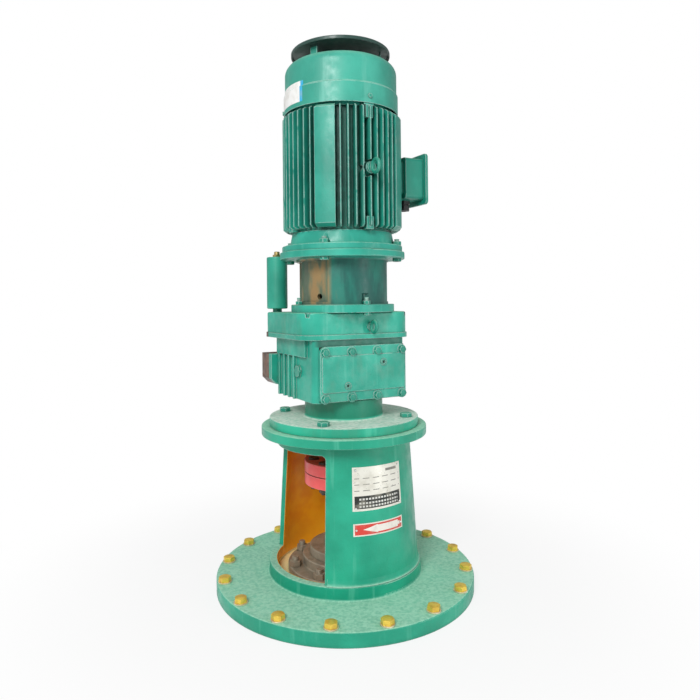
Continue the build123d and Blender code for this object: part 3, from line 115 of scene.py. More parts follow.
# %% Node helpers
def add(tree, kind, inputs=None, **settings):
    made = tree.nodes.new("ShaderNode" + kind)
    for key, value in settings.items():
        setattr(made, key, value)
    for key, value in (inputs or {}).items():
        if isinstance(value, bpy.types.NodeSocket):
            tree.links.new(value, made.inputs[key])
        else:
            made.inputs[key].default_value = value
    return made


def blend(tree, factor, under, over):
    """Colour under, covered by colour over as far as factor says."""
    under = under if isinstance(under, bpy.types.NodeSocket) else (*under, 1.0)
    over = over if isinstance(over, bpy.types.NodeSocket) else (*over, 1.0)
    made = add(tree, "Mix", {0: factor, 6: under, 7: over}, data_type="RGBA")
    return made.outputs[2]


def maths(tree, operation, a, b=0.0):
    return add(tree, "Math", {0: a, 1: b}, operation=operation).outputs[0]


def times(tree, a, b):
    return maths(tree, "MULTIPLY", a, b)


def between(tree, value, low, high, to_low=0.0, to_high=1.0):
    """The value, stretched so that low to high becomes to_low to to_high."""
    made = add(
        tree,
        "MapRange",
        {0: value, 1: low, 2: high, 3: to_low, 4: to_high},
        interpolation_type="SMOOTHSTEP",
    )
    return made.outputs[0]


def noise(tree, coords, scale, detail=4.0, stretch=(1, 1, 1)):
    if stretch != (1, 1, 1):
        coords = add(tree, "Mapping", {0: coords, 3: stretch}).outputs[0]
    return add(tree, "TexNoise", {"Vector": coords, "Scale": scale, "Detail": detail}).outputs[0]


def tint(colour, scale, lift=0.0):
    """The colour made darker or brighter, then lifted towards white."""
    return [min(1.0, c * scale + lift) for c in colour]


def start_material(name):
    made = bpy.data.materials.new(name)
    made.use_nodes = True
    tree = made.node_tree
    return made, tree, tree.nodes["Principled BSDF"]


def object_coords(tree):
    return add(tree, "TexCoord").outputs["Object"]


def link(tree, value, shader, socket):
    tree.links.new(value, shader.inputs[socket])


# %% [markdown]
# ## Enamel on cast iron
#
# The machine is brushed or sprayed with green enamel over rough castings. Four
# things show on such paint: slow changes of tone with runs and specks; pale dust
# on whatever faces up, which is also a painted sky light on those tops; painted
# shade in the corners, a darker copy of the paint's colour; and paler edges,
# partly thin worn film and partly a painted highlight. Dust and top light come
# from the direction that the surface faces, the painted shade from ambient
# occlusion, and the edges from a bevel node, which also rounds the sharp edges
# for the light. A part with a second coat or painted shade of its own gives its
# own function for it, which is laid over the dust.

# %% Paint
edge_round = 2.2 * mm
corner_reach = 16 * mm
skin_height = 0.6 * mm
stain_brown = (0.20, 0.14, 0.07)
# The pale green on up-facing faces stands for dust and for a painted sky light on them.
green_dust_and_top_light = (0.36, 0.72, 0.50)


def painted(
    name,
    colour,
    dust=0.5,
    shade_and_dirt=0.5,
    stain=0.0,
    grain=1.0,
    special=None,
    dust_and_top_light_colour=green_dust_and_top_light,
):
    made, tree, shader = start_material(name)
    coords = object_coords(tree)
    broad = noise(tree, coords, 9.0, 8.0)
    mottle = noise(tree, coords, 55.0, 8.0)
    speckle = noise(tree, coords, 330.0, 4.0)
    streak = noise(tree, coords, 48.0, 7.0, (1, 1, 0.08))
    fine_dust = noise(tree, coords, 150.0, 10.0)

    clouds = between(tree, broad, 0.38, 0.66)
    tone = blend(tree, clouds, tint(colour, 0.82), tint(colour, 1.10, 0.01))
    runs = between(tree, streak, 0.57, 0.72, 0, 0.45)
    tone = blend(tree, runs, tone, tint(colour, 1.1, 0.10))
    specks = between(tree, speckle, 0.60, 0.78, 0, 0.40)
    tone = blend(tree, specks, tone, tint(colour, 0.55))

    # Paler edges: partly thin worn film, partly a painted highlight along each edge.
    edge = add(tree, "Bevel", {"Radius": edge_round}, samples=6).outputs[0]
    flat = add(tree, "NewGeometry").outputs["Normal"]
    alike = add(tree, "VectorMath", {0: edge, 1: flat}, operation="DOT_PRODUCT").outputs["Value"]
    worn_and_highlit = times(tree, between(tree, alike, 0.999, 0.95), between(tree, mottle, 0.28, 0.50))
    tone = blend(tree, times(tree, worn_and_highlit, 0.85), tone, tint(colour, 0.6, 0.45))

    # Pale tops: dust, and also a painted sky light on the faces that look up.
    facing = add(tree, "SeparateXYZ", {0: flat}).outputs["Z"]
    upward = between(tree, facing, 0.35, 0.95)
    lying = times(tree, upward, between(tree, fine_dust, 0.30, 0.68, 0.60, 1.0))
    tone = blend(tree, times(tree, lying, dust), tone, dust_and_top_light_colour)
    if special:
        tone = special(tree, coords, tone)

    # Painted shade: corners and hollows that ambient occlusion finds get a darker copy of the
    # paint's colour.
    shade = add(tree, "AmbientOcclusion", {"Distance": corner_reach}, samples=6).outputs["AO"]
    corner = times(tree, between(tree, shade, 0.78, 0.30), between(tree, mottle, 0.20, 0.50))
    tone = blend(tree, times(tree, corner, shade_and_dirt), tone, tint(colour, 0.24, 0.008))
    if stain:
        patch = between(tree, noise(tree, coords, 21.0, 9.0, (1, 1, 0.4)), 0.52, 0.66)
        tone = blend(tree, times(tree, patch, stain), tone, stain_brown)
    link(tree, tone, shader, "Base Color")

    rough = between(tree, mottle, 0.3, 0.7, 0.32, 0.50)
    rough = maths(tree, "ADD", rough, times(tree, lying, dust * 0.5))
    link(tree, rough, shader, "Roughness")
    small_grain = noise(tree, coords, 260.0, 3.0)
    large_grain = times(tree, noise(tree, coords, 60.0, 3.0), 1.6)
    skin = maths(tree, "ADD", small_grain, large_grain)
    bump = add(tree, "Bump", {"Strength": 0.32 * grain, "Distance": skin_height})
    link(tree, skin, bump, "Height")
    link(tree, edge, bump, "Normal")
    link(tree, bump.outputs[0], shader, "Normal")
    return made


print("paint helper ready")

# %% [markdown]
# ## Bare and plated metal
#
# Bare steel is metallic, with a tone that wanders and a fine scratch pattern.
# The same helper makes the yellow zinc of the flange bolts, the browned steel of
# the shaft seal and the dull brass, because they differ only in colour, gloss
# and how far dirt has crept in.

# %% Metal
def metal(name, colour, rough=0.35, shade_and_dirt=0.4, metallic=1.0, brown=(0.10, 0.07, 0.04), scale=60.0):
    made, tree, shader = start_material(name)
    coords = object_coords(tree)
    mottle = noise(tree, coords, scale, 6.0)
    fine = noise(tree, coords, scale * 9, 3.0)
    tone = blend(tree, between(tree, mottle, 0.3, 0.7), tint(colour, 0.72), tint(colour, 1.12))
    shade = add(tree, "AmbientOcclusion", {"Distance": 8 * mm}, samples=6).outputs["AO"]
    grime = maths(tree, "ADD", between(tree, shade, 0.85, 0.3), between(tree, mottle, 0.55, 0.75))
    tone = blend(tree, times(tree, grime, shade_and_dirt), tone, brown)
    link(tree, tone, shader, "Base Color")
    shader.inputs["Metallic"].default_value = metallic
    gloss = between(tree, fine, 0.3, 0.7, rough * 0.8, min(1, rough * 1.35))
    link(tree, gloss, shader, "Roughness")
    edge = add(tree, "Bevel", {"Radius": 0.7 * mm}, samples=4).outputs[0]
    scratches = {"Strength": 0.2, "Distance": 0.2 * mm, "Height": fine, "Normal": edge}
    bump = add(tree, "Bump", scratches)
    link(tree, bump.outputs[0], shader, "Normal")
    return made


def dull(name, colour, rough=0.7, dust=0.3):
    """Rubber, moulding and varnish: no metal, a soft bump and some dust on top."""
    made, tree, shader = start_material(name)
    coords = object_coords(tree)
    mottle = noise(tree, coords, 90.0, 5.0)
    tone = blend(tree, between(tree, mottle, 0.3, 0.7), tint(colour, 0.7), tint(colour, 1.25))
    flat = add(tree, "NewGeometry").outputs["Normal"]
    facing = add(tree, "SeparateXYZ", {0: flat}).outputs["Z"]
    lying = times(tree, between(tree, facing, 0.3, 0.95), dust)
    link(tree, blend(tree, lying, tone, (0.35, 0.36, 0.30)), shader, "Base Color")
    gloss = between(tree, mottle, 0.3, 0.7, rough * 0.85, min(1, rough * 1.15))
    link(tree, gloss, shader, "Roughness")
    grain = noise(tree, coords, 700.0)
    bump = add(tree, "Bump", {"Strength": 0.25, "Distance": 0.2 * mm, "Height": grain})
    link(tree, bump.outputs[0], shader, "Normal")
    return made


def finish_with(material, *names):
    for name in names:
        slots = nodes[name].data.materials
        slots.clear()
        slots.append(material)


print("metal helpers ready")

# %% [markdown]
# ## The stand, green outside and ochre inside
#
# The stand is one casting, so one material has to carry two paints. The inside
# was only primed, in ochre. A point belongs to the inside when it is no farther
# from the axis than the inner face of the cone's wall, with a small margin. That
# radius shrinks with height, so the mask compares the two at each height. The
# ochre is paler low down, and dust covers the floor.

# %% Stand
stand_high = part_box("stand")[1]
base_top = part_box("base_washers")[0].z
collar_height = 28 * mm
flange_thick = 20 * mm
cone_low_z = base_top + collar_height
cone_high_z = stand_high.z - flange_thick
cone_low_r = 172 * mm
cone_high_r = 154.5 * mm
wall = 12 * mm
mask_margin = 1.2 * mm
floor_dust = (1.00, 0.84, 0.42)


def ochre_inside(tree, coords, outside):
    parts = add(tree, "SeparateXYZ", {0: coords})
    flat = add(tree, "CombineXYZ", {0: parts.outputs[0], 1: parts.outputs[1]})
    radius = add(tree, "VectorMath", {0: flat.outputs[0]}, operation="LENGTH").outputs["Value"]
    height = parts.outputs[2]
    slope = (cone_high_r - cone_low_r) / (cone_high_z - cone_low_z)
    limit = maths(tree, "MULTIPLY_ADD", height, slope)
    limit.node.inputs[2].default_value = cone_low_r - slope * cone_low_z - wall + mask_margin
    nearer = maths(tree, "LESS_THAN", radius, limit)
    above_floor = maths(tree, "GREATER_THAN", height, base_top - 1 * mm)
    below_flange = maths(tree, "LESS_THAN", height, stand_high.z - 1 * mm)
    mask = times(tree, nearer, times(tree, above_floor, below_flange))
    patches = between(tree, noise(tree, coords, 30.0, 8.0), 0.35, 0.68)
    ochre = blend(tree, patches, (0.92, 0.300, 0.003), (1.00, 0.400, 0.006))
    low_down = between(tree, height, base_top + 110 * mm, base_top + 10 * mm, 0, 0.5)
    ochre = blend(tree, low_down, ochre, (1.00, 0.52, 0.03))
    on_floor = between(tree, height, base_top + 6 * mm, base_top + 1 * mm)
    ochre = blend(tree, on_floor, ochre, floor_dust)
    return blend(tree, mask, outside, ochre)


stand_green = (0.004, 0.385, 0.235)
# Dust and a painted sky light on the stand's tops.
stand_dust_and_top_light = (0.42, 0.78, 0.58)
stand_looks = dict(dust=0.9, shade_and_dirt=0.6, special=ochre_inside, dust_and_top_light_colour=stand_dust_and_top_light)
stand_enamel = painted("stand_enamel", stand_green, **stand_looks)
finish_with(stand_enamel, "stand")
print("cone radius low and high in mm:", cone_low_r / mm, cone_high_r / mm)

# %% [markdown]
# ## Second coats, stains and painted shade
#
# Four castings change along their height or depth. The reducer's unused foot
# has rusted and a painted shadow lies under its lip, the lantern has painted
# shade between its flanges and is stained in one pocket, the cap's disc is
# painted nearly black as shade, and the neck of the output flange has painted
# shade from the reducer. Each is a function that lays its own colour over the
# paint, between two places along one axis.

# %% Second coats and painted shade
body_low, body_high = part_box("gear_housing")
lantern_low, lantern_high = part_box("lantern")
cap_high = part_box("rain_cap")[1]
lid_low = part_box("hatch_cover")[0]
along_x, along_y, along_z = range(3)
foot_start = 117 * mm
lantern_pocket = 68 * mm
neck_low = body_low.z - 42 * mm


def step(tree, coords, axis, low, high):
    """A soft step from 0 at one place of an axis to 1 at another."""
    return between(tree, add(tree, "SeparateXYZ", {0: coords}).outputs[axis], low, high)


def rusty_foot_and_lip_shade(tree, coords, tone):
    """Rust on the foot, and a painted shadow as a dark strip under the lip above the hatch."""
    rust = between(tree, noise(tree, coords, 40.0, 6.0), 0.35, 0.65)
    brown = blend(tree, rust, (0.060, 0.028, 0.014), (0.150, 0.062, 0.028))
    on_foot = step(tree, coords, along_y, foot_start, foot_start + 4 * mm)
    tone = blend(tree, on_foot, tone, brown)
    # Painted shadow: a dark strip under the lip, above the hatch.
    top = body_high.z
    front = step(tree, coords, along_y, lid_low.y + 18 * mm, lid_low.y + 8 * mm)
    from_below = step(tree, coords, along_z, top - 28 * mm, top - 24 * mm)
    from_above = step(tree, coords, along_z, top - 10 * mm, top - 12 * mm)
    strip = times(tree, front, times(tree, from_below, from_above))
    return blend(tree, times(tree, strip, 0.8), tone, (0.012, 0.050, 0.035))


def shaded_middle(tree, coords, tone):
    """The lantern between its flanges: painted shade, one stained pocket, brown runs."""
    from_below = step(tree, coords, along_z, lantern_low.z + 17 * mm, lantern_low.z + 22 * mm)
    from_above = step(tree, coords, along_z, lantern_high.z - 15 * mm, lantern_high.z - 19 * mm)
    middle = times(tree, from_below, from_above)
    cloud = noise(tree, coords, 26.0, 8.0, (1, 1, 0.3))
    tones = between(tree, cloud, 0.40, 0.60)
    # Painted shade: a dark green coat over the lantern's middle.
    shaded_and_stained = blend(tree, tones, (0.006, 0.105, 0.085), (0.014, 0.200, 0.150))
    side = step(tree, coords, along_x, -lantern_pocket, -lantern_pocket - 12 * mm)
    patch = times(tree, between(tree, cloud, 0.44, 0.56, 0.25, 0.9), side)
    shaded_and_stained = blend(tree, patch, shaded_and_stained, (0.36, 0.21, 0.08))
    seams = times(tree, between(tree, cloud, 0.62, 0.72), 0.35)
    return blend(tree, middle, tone, blend(tree, seams, shaded_and_stained, (0.20, 0.13, 0.07)))


def shaded_cap(tree, coords, tone):
    """The cap's disc, painted nearly black as shade. Its straps keep the green."""
    disc = step(tree, coords, along_z, cap_high.z - 10 * mm, cap_high.z - 9 * mm)
    return blend(tree, disc, tone, (0.024, 0.066, 0.054))


def shaded_neck(tree, coords, tone):
    """The neck of the output flange, with painted shade from the reducer above it."""
    neck = step(tree, coords, along_z, neck_low, neck_low + 4 * mm)
    return blend(tree, neck, tone, (0.010, 0.245, 0.150))


print("neck from", round(neck_low / mm, 1), "mm up, cap's top at", round(cap_high.z / mm, 1))

# %% [markdown]
# ## Paint on the gearbox and the motor
#
# The gearbox has stood in the weather, so it gets more dust and brown stains.
# The motor is sprayed at its own works in a bluer green, over smoother iron, and
# its cowl and cap are pressed sheet, with hardly any grain.

# %% Gearbox and motor paint
gearbox_green = (0.016, 0.405, 0.285)
flange_green = (0.010, 0.440, 0.280)
lantern_green = (0.022, 0.400, 0.290)
motor_green = (0.012, 0.310, 0.225)
shield_green = (0.020, 0.385, 0.285)
sheet_green = (0.045, 0.390, 0.290)
box_green = (0.010, 0.320, 0.225)
tank_green = (0.022, 0.360, 0.250)
fastener_green = (0.012, 0.300, 0.205)
# A whiter dust and painted sky light, used on the output flange's top.
pale_dust_and_top_light = (0.78, 0.88, 0.78)

gearbox_looks = dict(dust=0.55, shade_and_dirt=0.75, stain=0.12)
flange_looks = dict(dust=1.0, shade_and_dirt=0.35, stain=0.10, special=shaded_neck, dust_and_top_light_colour=pale_dust_and_top_light)
motor_looks = dict(dust=0.4, shade_and_dirt=0.95, grain=0.8)
shield_looks = dict(dust=0.9, shade_and_dirt=0.6, grain=0.8)
sheet_looks = dict(dust=0.35, shade_and_dirt=0.35, grain=0.25, special=shaded_cap)
small_looks = dict(dust=0.4, shade_and_dirt=0.5, grain=0.4)

housing_enamel = painted("housing_enamel", gearbox_green, special=rusty_foot_and_lip_shade, **gearbox_looks)
gearbox_enamel = painted("gearbox_enamel", gearbox_green, **gearbox_looks)
output_flange_enamel = painted("output_flange_enamel", flange_green, **flange_looks)
lantern_enamel = painted("lantern_enamel", lantern_green, dust=0.6, shade_and_dirt=0.5, special=shaded_middle)
motor_enamel = painted("motor_enamel", motor_green, **motor_looks)
shield_enamel = painted("shield_enamel", shield_green, **shield_looks)
sheet_enamel = painted("sheet_enamel", sheet_green, **sheet_looks)
box_enamel = painted("box_enamel", box_green, **small_looks)
tank_enamel = painted("tank_enamel", tank_green, dust=0.4, shade_and_dirt=0.5, grain=0.3)
fastener_enamel = painted("fastener_enamel", fastener_green, dust=0.35, shade_and_dirt=0.5, grain=0.4)

finish_with(housing_enamel, "gear_housing")
finish_with(gearbox_enamel, "gear_cover", "hatch_cover")
finish_with(output_flange_enamel, "output_flange")
finish_with(lantern_enamel, "lantern")
finish_with(motor_enamel, "motor_frame")
finish_with(shield_enamel, "drive_end_shield", "rear_shield")
finish_with(sheet_enamel, "fan_cowl", "rain_cap")
finish_with(box_enamel, "terminal_box", "terminal_lid")
finish_with(tank_enamel, "expansion_tank")
finish_with(fastener_enamel, "cover_screws", "small_screws", "motor_eye", "reducer_eye")
finish_with(fastener_enamel, "bearing_bridge", "oil_plugs")
coats = [material for material in bpy.data.materials if "enamel" in material.name]
print("enamels mixed:", len(coats))

# %% [markdown]
# ## The metals and the rubber
#
# The tank flange is held by yellow zinc bolts on pale washers. The pin coupling
# is red. The shaft seal is bare steel that oil and rust have browned. What is
# sealed inside gets a plain finish of its own all the same.

# %% Metal parts
zinc_brown = (0.35, 0.17, 0.03)
washer_brown = (0.45, 0.30, 0.12)
seal_brown = (0.06, 0.045, 0.025)
red_dust = (0.55, 0.42, 0.34)

zinc_looks = dict(rough=0.38, shade_and_dirt=0.30, metallic=0.45, brown=zinc_brown)
washer_looks = dict(rough=0.45, shade_and_dirt=0.45, metallic=0.5, brown=washer_brown)
seal_looks = dict(rough=0.48, shade_and_dirt=0.60, metallic=0.40, brown=seal_brown, scale=36.0)

zinc = metal("yellow_zinc", (1.00, 0.66, 0.10), **zinc_looks)
washer_metal = metal("washer_zinc", (0.86, 0.78, 0.55), **washer_looks)
seal_metal = metal("seal_steel", (0.40, 0.35, 0.26), **seal_looks)
dark_steel = metal("dark_steel", (0.13, 0.12, 0.10), rough=0.5, shade_and_dirt=0.6, metallic=0.7)
ground_steel = metal("ground_steel", (0.60, 0.60, 0.58), rough=0.3, shade_and_dirt=0.35)
brass = metal("dull_brass", (0.62, 0.47, 0.20), rough=0.42, shade_and_dirt=0.5)
lamination_steel = metal("lamination_steel", (0.30, 0.31, 0.33), rough=0.5)
winding_varnish = dull("winding_varnish", (0.42, 0.13, 0.05), rough=0.35, dust=0.0)
rubber = dull("rubber", (0.018, 0.018, 0.017), rough=0.8)
moulding = dull("moulding", (0.022, 0.023, 0.024), rough=0.5)
red_enamel = painted("red_enamel", (0.90, 0.110, 0.110), dust=0.25, shade_and_dirt=0.5, dust_and_top_light_colour=red_dust)

finish_with(zinc, "base_bolts")
finish_with(washer_metal, "base_washers")
finish_with(seal_metal, "seal_housing", "gland_nut")
finish_with(ground_steel, "agitator_shaft", "output_shaft", "output_gear", "output_spacer")
finish_with(ground_steel, "layshaft", "layshaft_gear", "input_shaft", "motor_shaft")
finish_with(ground_steel, "bearing_outer_rings", "input_bearing_inners")
finish_with(ground_steel, "layshaft_bearing_inners", "output_bearing_inners")
finish_with(ground_steel, "jaw_hub_upper", "jaw_hub_lower")
finish_with(brass, "breather_plug")
finish_with(lamination_steel, "stator_core", "rotor_core")
finish_with(winding_varnish, "stator_windings")
finish_with(rubber, "coupling_bushes", "shaft_seals", "hatch_gasket", "jaw_spider")
finish_with(moulding, "terminal_block", "cooling_fan", "cable_gland")
finish_with(red_enamel, "lower_coupling", "upper_coupling")
finish_with(dark_steel, "coupling_pins")
print("materials so far:", len(bpy.data.materials))

# %% [markdown]
# ## Mesh helpers
#
# New pieces are modelled with bmesh operators. A turned piece starts from a
# profile, a row of (radius, height) points, which spin carries once round. A
# sub-piece is made once and copied to each of its places by a matrix.

# %% Mesh helpers
def lathe(profile, steps=32):
    """A turned piece from (radius, height) points; it starts and ends on the axis."""
    bm = bmesh.new()
    row = [bm.verts.new((r, 0, z)) for r, z in profile]
    edges = [bm.edges.new(pair) for pair in zip(row, row[1:])]
    round_z = dict(cent=(0, 0, 0), axis=(0, 0, 1))
    bmesh.ops.spin(bm, geom=row + edges, angle=2 * pi, steps=steps, use_merge=True, **round_z)
    bmesh.ops.remove_doubles(bm, verts=bm.verts, dist=1e-6)
    bmesh.ops.dissolve_degenerate(bm, dist=1e-7, edges=bm.edges)
    bmesh.ops.recalc_face_normals(bm, faces=bm.faces)
    return bm


def copy_into(target, part, matrix):
    """Adds a copy of a bmesh to another, at a matrix."""
    carrier = bpy.data.meshes.new("carrier")
    part.to_mesh(carrier)
    before = len(target.verts)
    target.from_mesh(carrier)
    target.verts.ensure_lookup_table()
    bmesh.ops.transform(target, matrix=matrix, verts=target.verts[before:])
    bpy.data.meshes.remove(carrier)


def finish_piece(bm, name, material, body, slot=None, smooth=35):
    mesh = bpy.data.meshes.new(name)
    bm.to_mesh(mesh)
    bm.free()
    mesh.materials.append(material)
    mesh.shade_smooth()
    mesh.set_sharp_from_angle(angle=radians(smooth))
    piece = bpy.data.objects.new(name, mesh)
    scene.collection.objects.link(piece)
    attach(piece, body)
    print(name, "has", len(mesh.polygons), "faces")
    return piece


# %% [markdown]
# ## Hexagons
#
# A hexagon head is a prism whose corners are cut by a shallow cone, so its top
# shows a disc and six arcs. Three rings make it: the hexagon at the bottom, the
# hexagon again near the top but lower at the corners, and the disc's circle.
# Bridging the rings gives the flats and the conical cut.

# %% Hexagon head
def ring_edges(verts):
    """The edges whose two ends are both among these points."""
    inside = set(verts)
    return list({e for v in verts for e in v.link_edges if inside.issuperset(e.verts)})


disc_share = 0.96
corner_fall = 0.55


def hexagon_head(across_flats, height, steps=4):
    bm = bmesh.new()
    half = across_flats / 2
    disc = half * disc_share
    rings = []
    for level in range(3):
        verts = bmesh.ops.create_circle(bm, segments=6 * steps, radius=half)["verts"]
        for k, v in enumerate(verts):
            angle = 2 * pi * k / len(verts)
            corner = half / cos((angle % (pi / 3)) - pi / 6)
            drop = (corner - disc) * corner_fall
            radius = (corner, corner, disc)[level]
            z = (0, height - drop, height)[level]
            v.co = (radius * cos(angle), radius * sin(angle), z)
        rings.append(verts)
    for low, high in zip(rings, rings[1:]):
        bmesh.ops.bridge_loops(bm, edges=ring_edges(low) + ring_edges(high))
    bmesh.ops.edgeloop_fill(bm, edges=ring_edges(rings[0]))
    bmesh.ops.edgeloop_fill(bm, edges=ring_edges(rings[2]))
    bmesh.ops.recalc_face_normals(bm, faces=bm.faces)
    return bm


def threaded_end(radius, length, pitch):
    """A stud's end: ridges one pitch apart and a chamfered tip."""
    depth = pitch * 0.45
    count = max(1, int((length - depth) / pitch))
    profile = [(0, 0), (radius, 0)]
    for k in range(count):
        z = k * pitch
        profile += [(radius - depth, z + pitch * 0.5), (radius, z + pitch)]
    profile += [(radius, length - depth), (radius - depth, length), (0, length)]
    return lathe(profile, 20)


# %% [markdown]
# ## Reading a fastener from its solid
#
# The solids of the bolts already stand in their holes. Each one is found as an
# island of joined triangles. Measured from its own axis, the corners of its
# hexagons are the farthest points, and what is nearer belongs to the shank.

# %% Islands and fasteners
bar_sides = 16


def islands(name):
    """The corner points of each separate solid of a node."""
    mesh = nodes[name].data
    points = np.empty(len(mesh.vertices) * 3)
    mesh.vertices.foreach_get("co", points)
    points = points.reshape(-1, 3)
    keys = {}
    number = [keys.setdefault(tuple(p), len(keys)) for p in np.round(points, 6)]
    parent = list(range(len(keys)))

    def top(k):
        while parent[k] != k:
            parent[k] = parent[parent[k]]
            k = parent[k]
        return k

    for face in mesh.polygons:
        first, *rest = [number[v] for v in face.vertices]
        for other in rest:
            parent[top(other)] = top(first)
    groups = {}
    for point, k in keys.items():
        groups.setdefault(top(k), []).append(point)
    return [np.array(group) for group in groups.values()]


def hexagon_levels(points, axis):
    """Centre of a fastener across its axis, its corner radius, and the ends of its hexagons."""
    across = [k for k in range(3) if k != axis]
    centre = (points[:, across].max(0) + points[:, across].min(0)) / 2
    away = np.hypot(*(points[:, across] - centre).T)
    corner = away.max()
    levels = sorted({round(float(z), 5) for z in points[away > corner * 0.985][:, axis]})
    shank = away[away < corner * 0.75].max()
    return centre, corner, levels, shank


def upright_fasteners(name, material, body, slot, pitch):
    """Chamfered hexagons and threaded ends in place of a node's plain ones."""
    group = bmesh.new()
    for points in islands(name):
        (x, y), corner, levels, shank = hexagon_levels(points, 2)
        turn = Matrix.Rotation(atan2(y, x), 4, "Z")
        low, high = points[:, 2].min(), points[:, 2].max()
        for start, end in zip(levels[::2], levels[1::2]):
            head = hexagon_head(corner * 2 * cos(pi / 6), end - start)
            flip = Matrix.Rotation(pi, 4, "X") if start == low else Matrix.Identity(4)
            at = Matrix.Translation((x, y, end if start == low else start))
            copy_into(group, head, at @ turn @ flip)
            head.free()
        inside_head = levels[-1] - low - 1 * mm
        bar = lathe([(0, 0), (shank, 0), (shank, inside_head), (0, inside_head)], bar_sides)
        if low < levels[0] or len(levels) > 2:
            copy_into(group, bar, Matrix.Translation((x, y, low)))
        bar.free()
        if high - levels[-1] > 1 * mm:
            tip = threaded_end(shank, high - levels[-1], pitch)
            copy_into(group, tip, Matrix.Translation((x, y, levels[-1])))
            tip.free()
    piece = finish_piece(group, name + "_fine", material, body, slot)
    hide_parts(name)
    return piece


upright_fasteners("base_bolts", zinc, "machine", "yellow_zinc", 2.0 * mm)
upright_fasteners("flange_bolts", fastener_enamel, "machine", "green_paint", 2.0 * mm)
upright_fasteners("seal_studs", seal_metal, "machine", "seal_steel", 2.0 * mm)
upright_fasteners("lantern_studs", fastener_enamel, "machine", "green_paint", 1.5 * mm)
upright_fasteners("motor_bolts", fastener_enamel, "machine", "green_paint", 1.75 * mm)

# %% [markdown]
# ## Screws of the inspection cover
#
# These lie on their side, so the heads are made upright and turned to face the
# front.

# %% Cover screws
hatch_group = bmesh.new()
for points in islands("hatch_screws"):
    (x, z), corner, levels, shank = hexagon_levels(points, 1)
    front, back = levels[0], levels[-1]
    length = points[:, 1].max() - front
    stand_up = Matrix.Translation((x, back, z)) @ Matrix.Rotation(radians(90), 4, "X")
    head = hexagon_head(corner * 2 * cos(pi / 6), back - front)
    copy_into(hatch_group, head, stand_up)
    reach = back - front - length
    bar = lathe([(0, 0), (shank, 0), (shank, reach), (0, reach)], bar_sides)
    copy_into(hatch_group, bar, stand_up)
    head.free()
    bar.free()
hatch_looks = (fastener_enamel, "machine", "green_paint")
hatch_screws_fine = finish_piece(hatch_group, "hatch_screws_fine", *hatch_looks)
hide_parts("hatch_screws")

# %% [markdown]
# ## The foot of the cone
#
# The casting runs into its collar in a soft hollow curve, not in a step. Each
# piece of it is the curve's section swept round the cone between two windows.

# %% Foot fillet
def cone_radius(z):
    share = (z - cone_low_z) / (cone_high_z - cone_low_z)
    return cone_low_r + (cone_high_r - cone_low_r) * share


def swept_section(profile, start, end, steps):
    """A closed section of (radius, height) points swept between two angles."""
    bm = bmesh.new()
    row = [bm.verts.new((r * cos(start), r * sin(start), z)) for r, z in profile]
    section = bm.faces.new(row)
    round_z = dict(cent=(0, 0, 0), axis=(0, 0, 1))
    bmesh.ops.spin(bm, geom=[section], angle=end - start, steps=steps, **round_z)
    bmesh.ops.recalc_face_normals(bm, faces=bm.faces)
    return bm


collar_r = 178 * mm
fillet_high = 24 * mm
fillet_steps = 8
ledge = 0.4 * mm
sunk = 0.3 * mm
buried = 2 * mm
fillet_top = cone_low_z + fillet_high
fillet_r = cone_radius(fillet_top) - sunk
fillet_wide = collar_r - ledge - fillet_r

foot_arc = [(cone_low_r - buried, cone_low_z)]
for k in range(fillet_steps + 1):
    turn = pi / 2 * k / fillet_steps
    radius = fillet_r + fillet_wide * (1 - sin(turn))
    foot_arc.append((radius, cone_low_z + fillet_high * (1 - cos(turn))))
foot_arc.append((cone_radius(fillet_top) - buried, fillet_top))
between_windows = [(33, 131), (229, 327)]
for number, (start, end) in enumerate(between_windows):
    foot = swept_section(foot_arc, radians(start), radians(end), 48)
    finish_piece(foot, f"foot_fillet_{number}", stand_enamel, "machine", "green_paint", smooth=40)

# %% [markdown]
# ## Curved sheet plates
#
# The rating plate, the arrow plate and the blank label are flat sheets bent
# round the machine. Each starts as a flat grid that carries its own UV map. Its
# points are then moved to an angle and a height, and solidify gives the
# thickness, so the printed pattern follows the sheet and not the room.

# %% Bent sheet
def bent_sheet(angle_low, angle_high, z_low, z_high, radius_of, thickness, across=36, up=10):
    bm = bmesh.new()
    bmesh.ops.create_grid(bm, x_segments=across, y_segments=up, size=0.5)
    uv = bm.loops.layers.uv.new("UVMap")
    for face in bm.faces:
        for loop in face.loops:
            loop[uv].uv = (loop.vert.co.x + 0.5, loop.vert.co.y + 0.5)
    for v in bm.verts:
        angle = angle_low + (v.co.x + 0.5) * (angle_high - angle_low)
        z = z_low + (v.co.y + 0.5) * (z_high - z_low)
        r = radius_of(z)
        v.co = (r * cos(angle), r * sin(angle), z)
    bmesh.ops.recalc_face_normals(bm, faces=bm.faces)
    first = bm.faces[:][0]
    outward = first.calc_center_median() * Vector((1, 1, 0))
    if first.normal.dot(outward) < 0:
        bmesh.ops.reverse_faces(bm, faces=bm.faces)
    bmesh.ops.solidify(bm, geom=bm.faces[:], thickness=thickness)
    bmesh.ops.recalc_face_normals(bm, faces=bm.faces)
    return bm


def plate_span(name):
    low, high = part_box(name)
    half = asin(high.x / cone_radius((low.z + high.z) / 2))
    return -pi / 2 - half, -pi / 2 + half, low.z, high.z


# %% [markdown]
# ## Printed plates
#
# The patterns are arithmetic on the UV map. A band or a line is a value that lies
# between two limits, and masks are combined by multiplying or taking the larger.
# The rating plate has plain rules and a dark band with plain bars, and the other
# plate a plain arrow.

# %% Pattern helpers
def within(tree, value, low, high):
    """1 where the value lies between two limits, and 0 elsewhere."""
    over = maths(tree, "GREATER_THAN", value, low)
    return times(tree, over, maths(tree, "LESS_THAN", value, high))


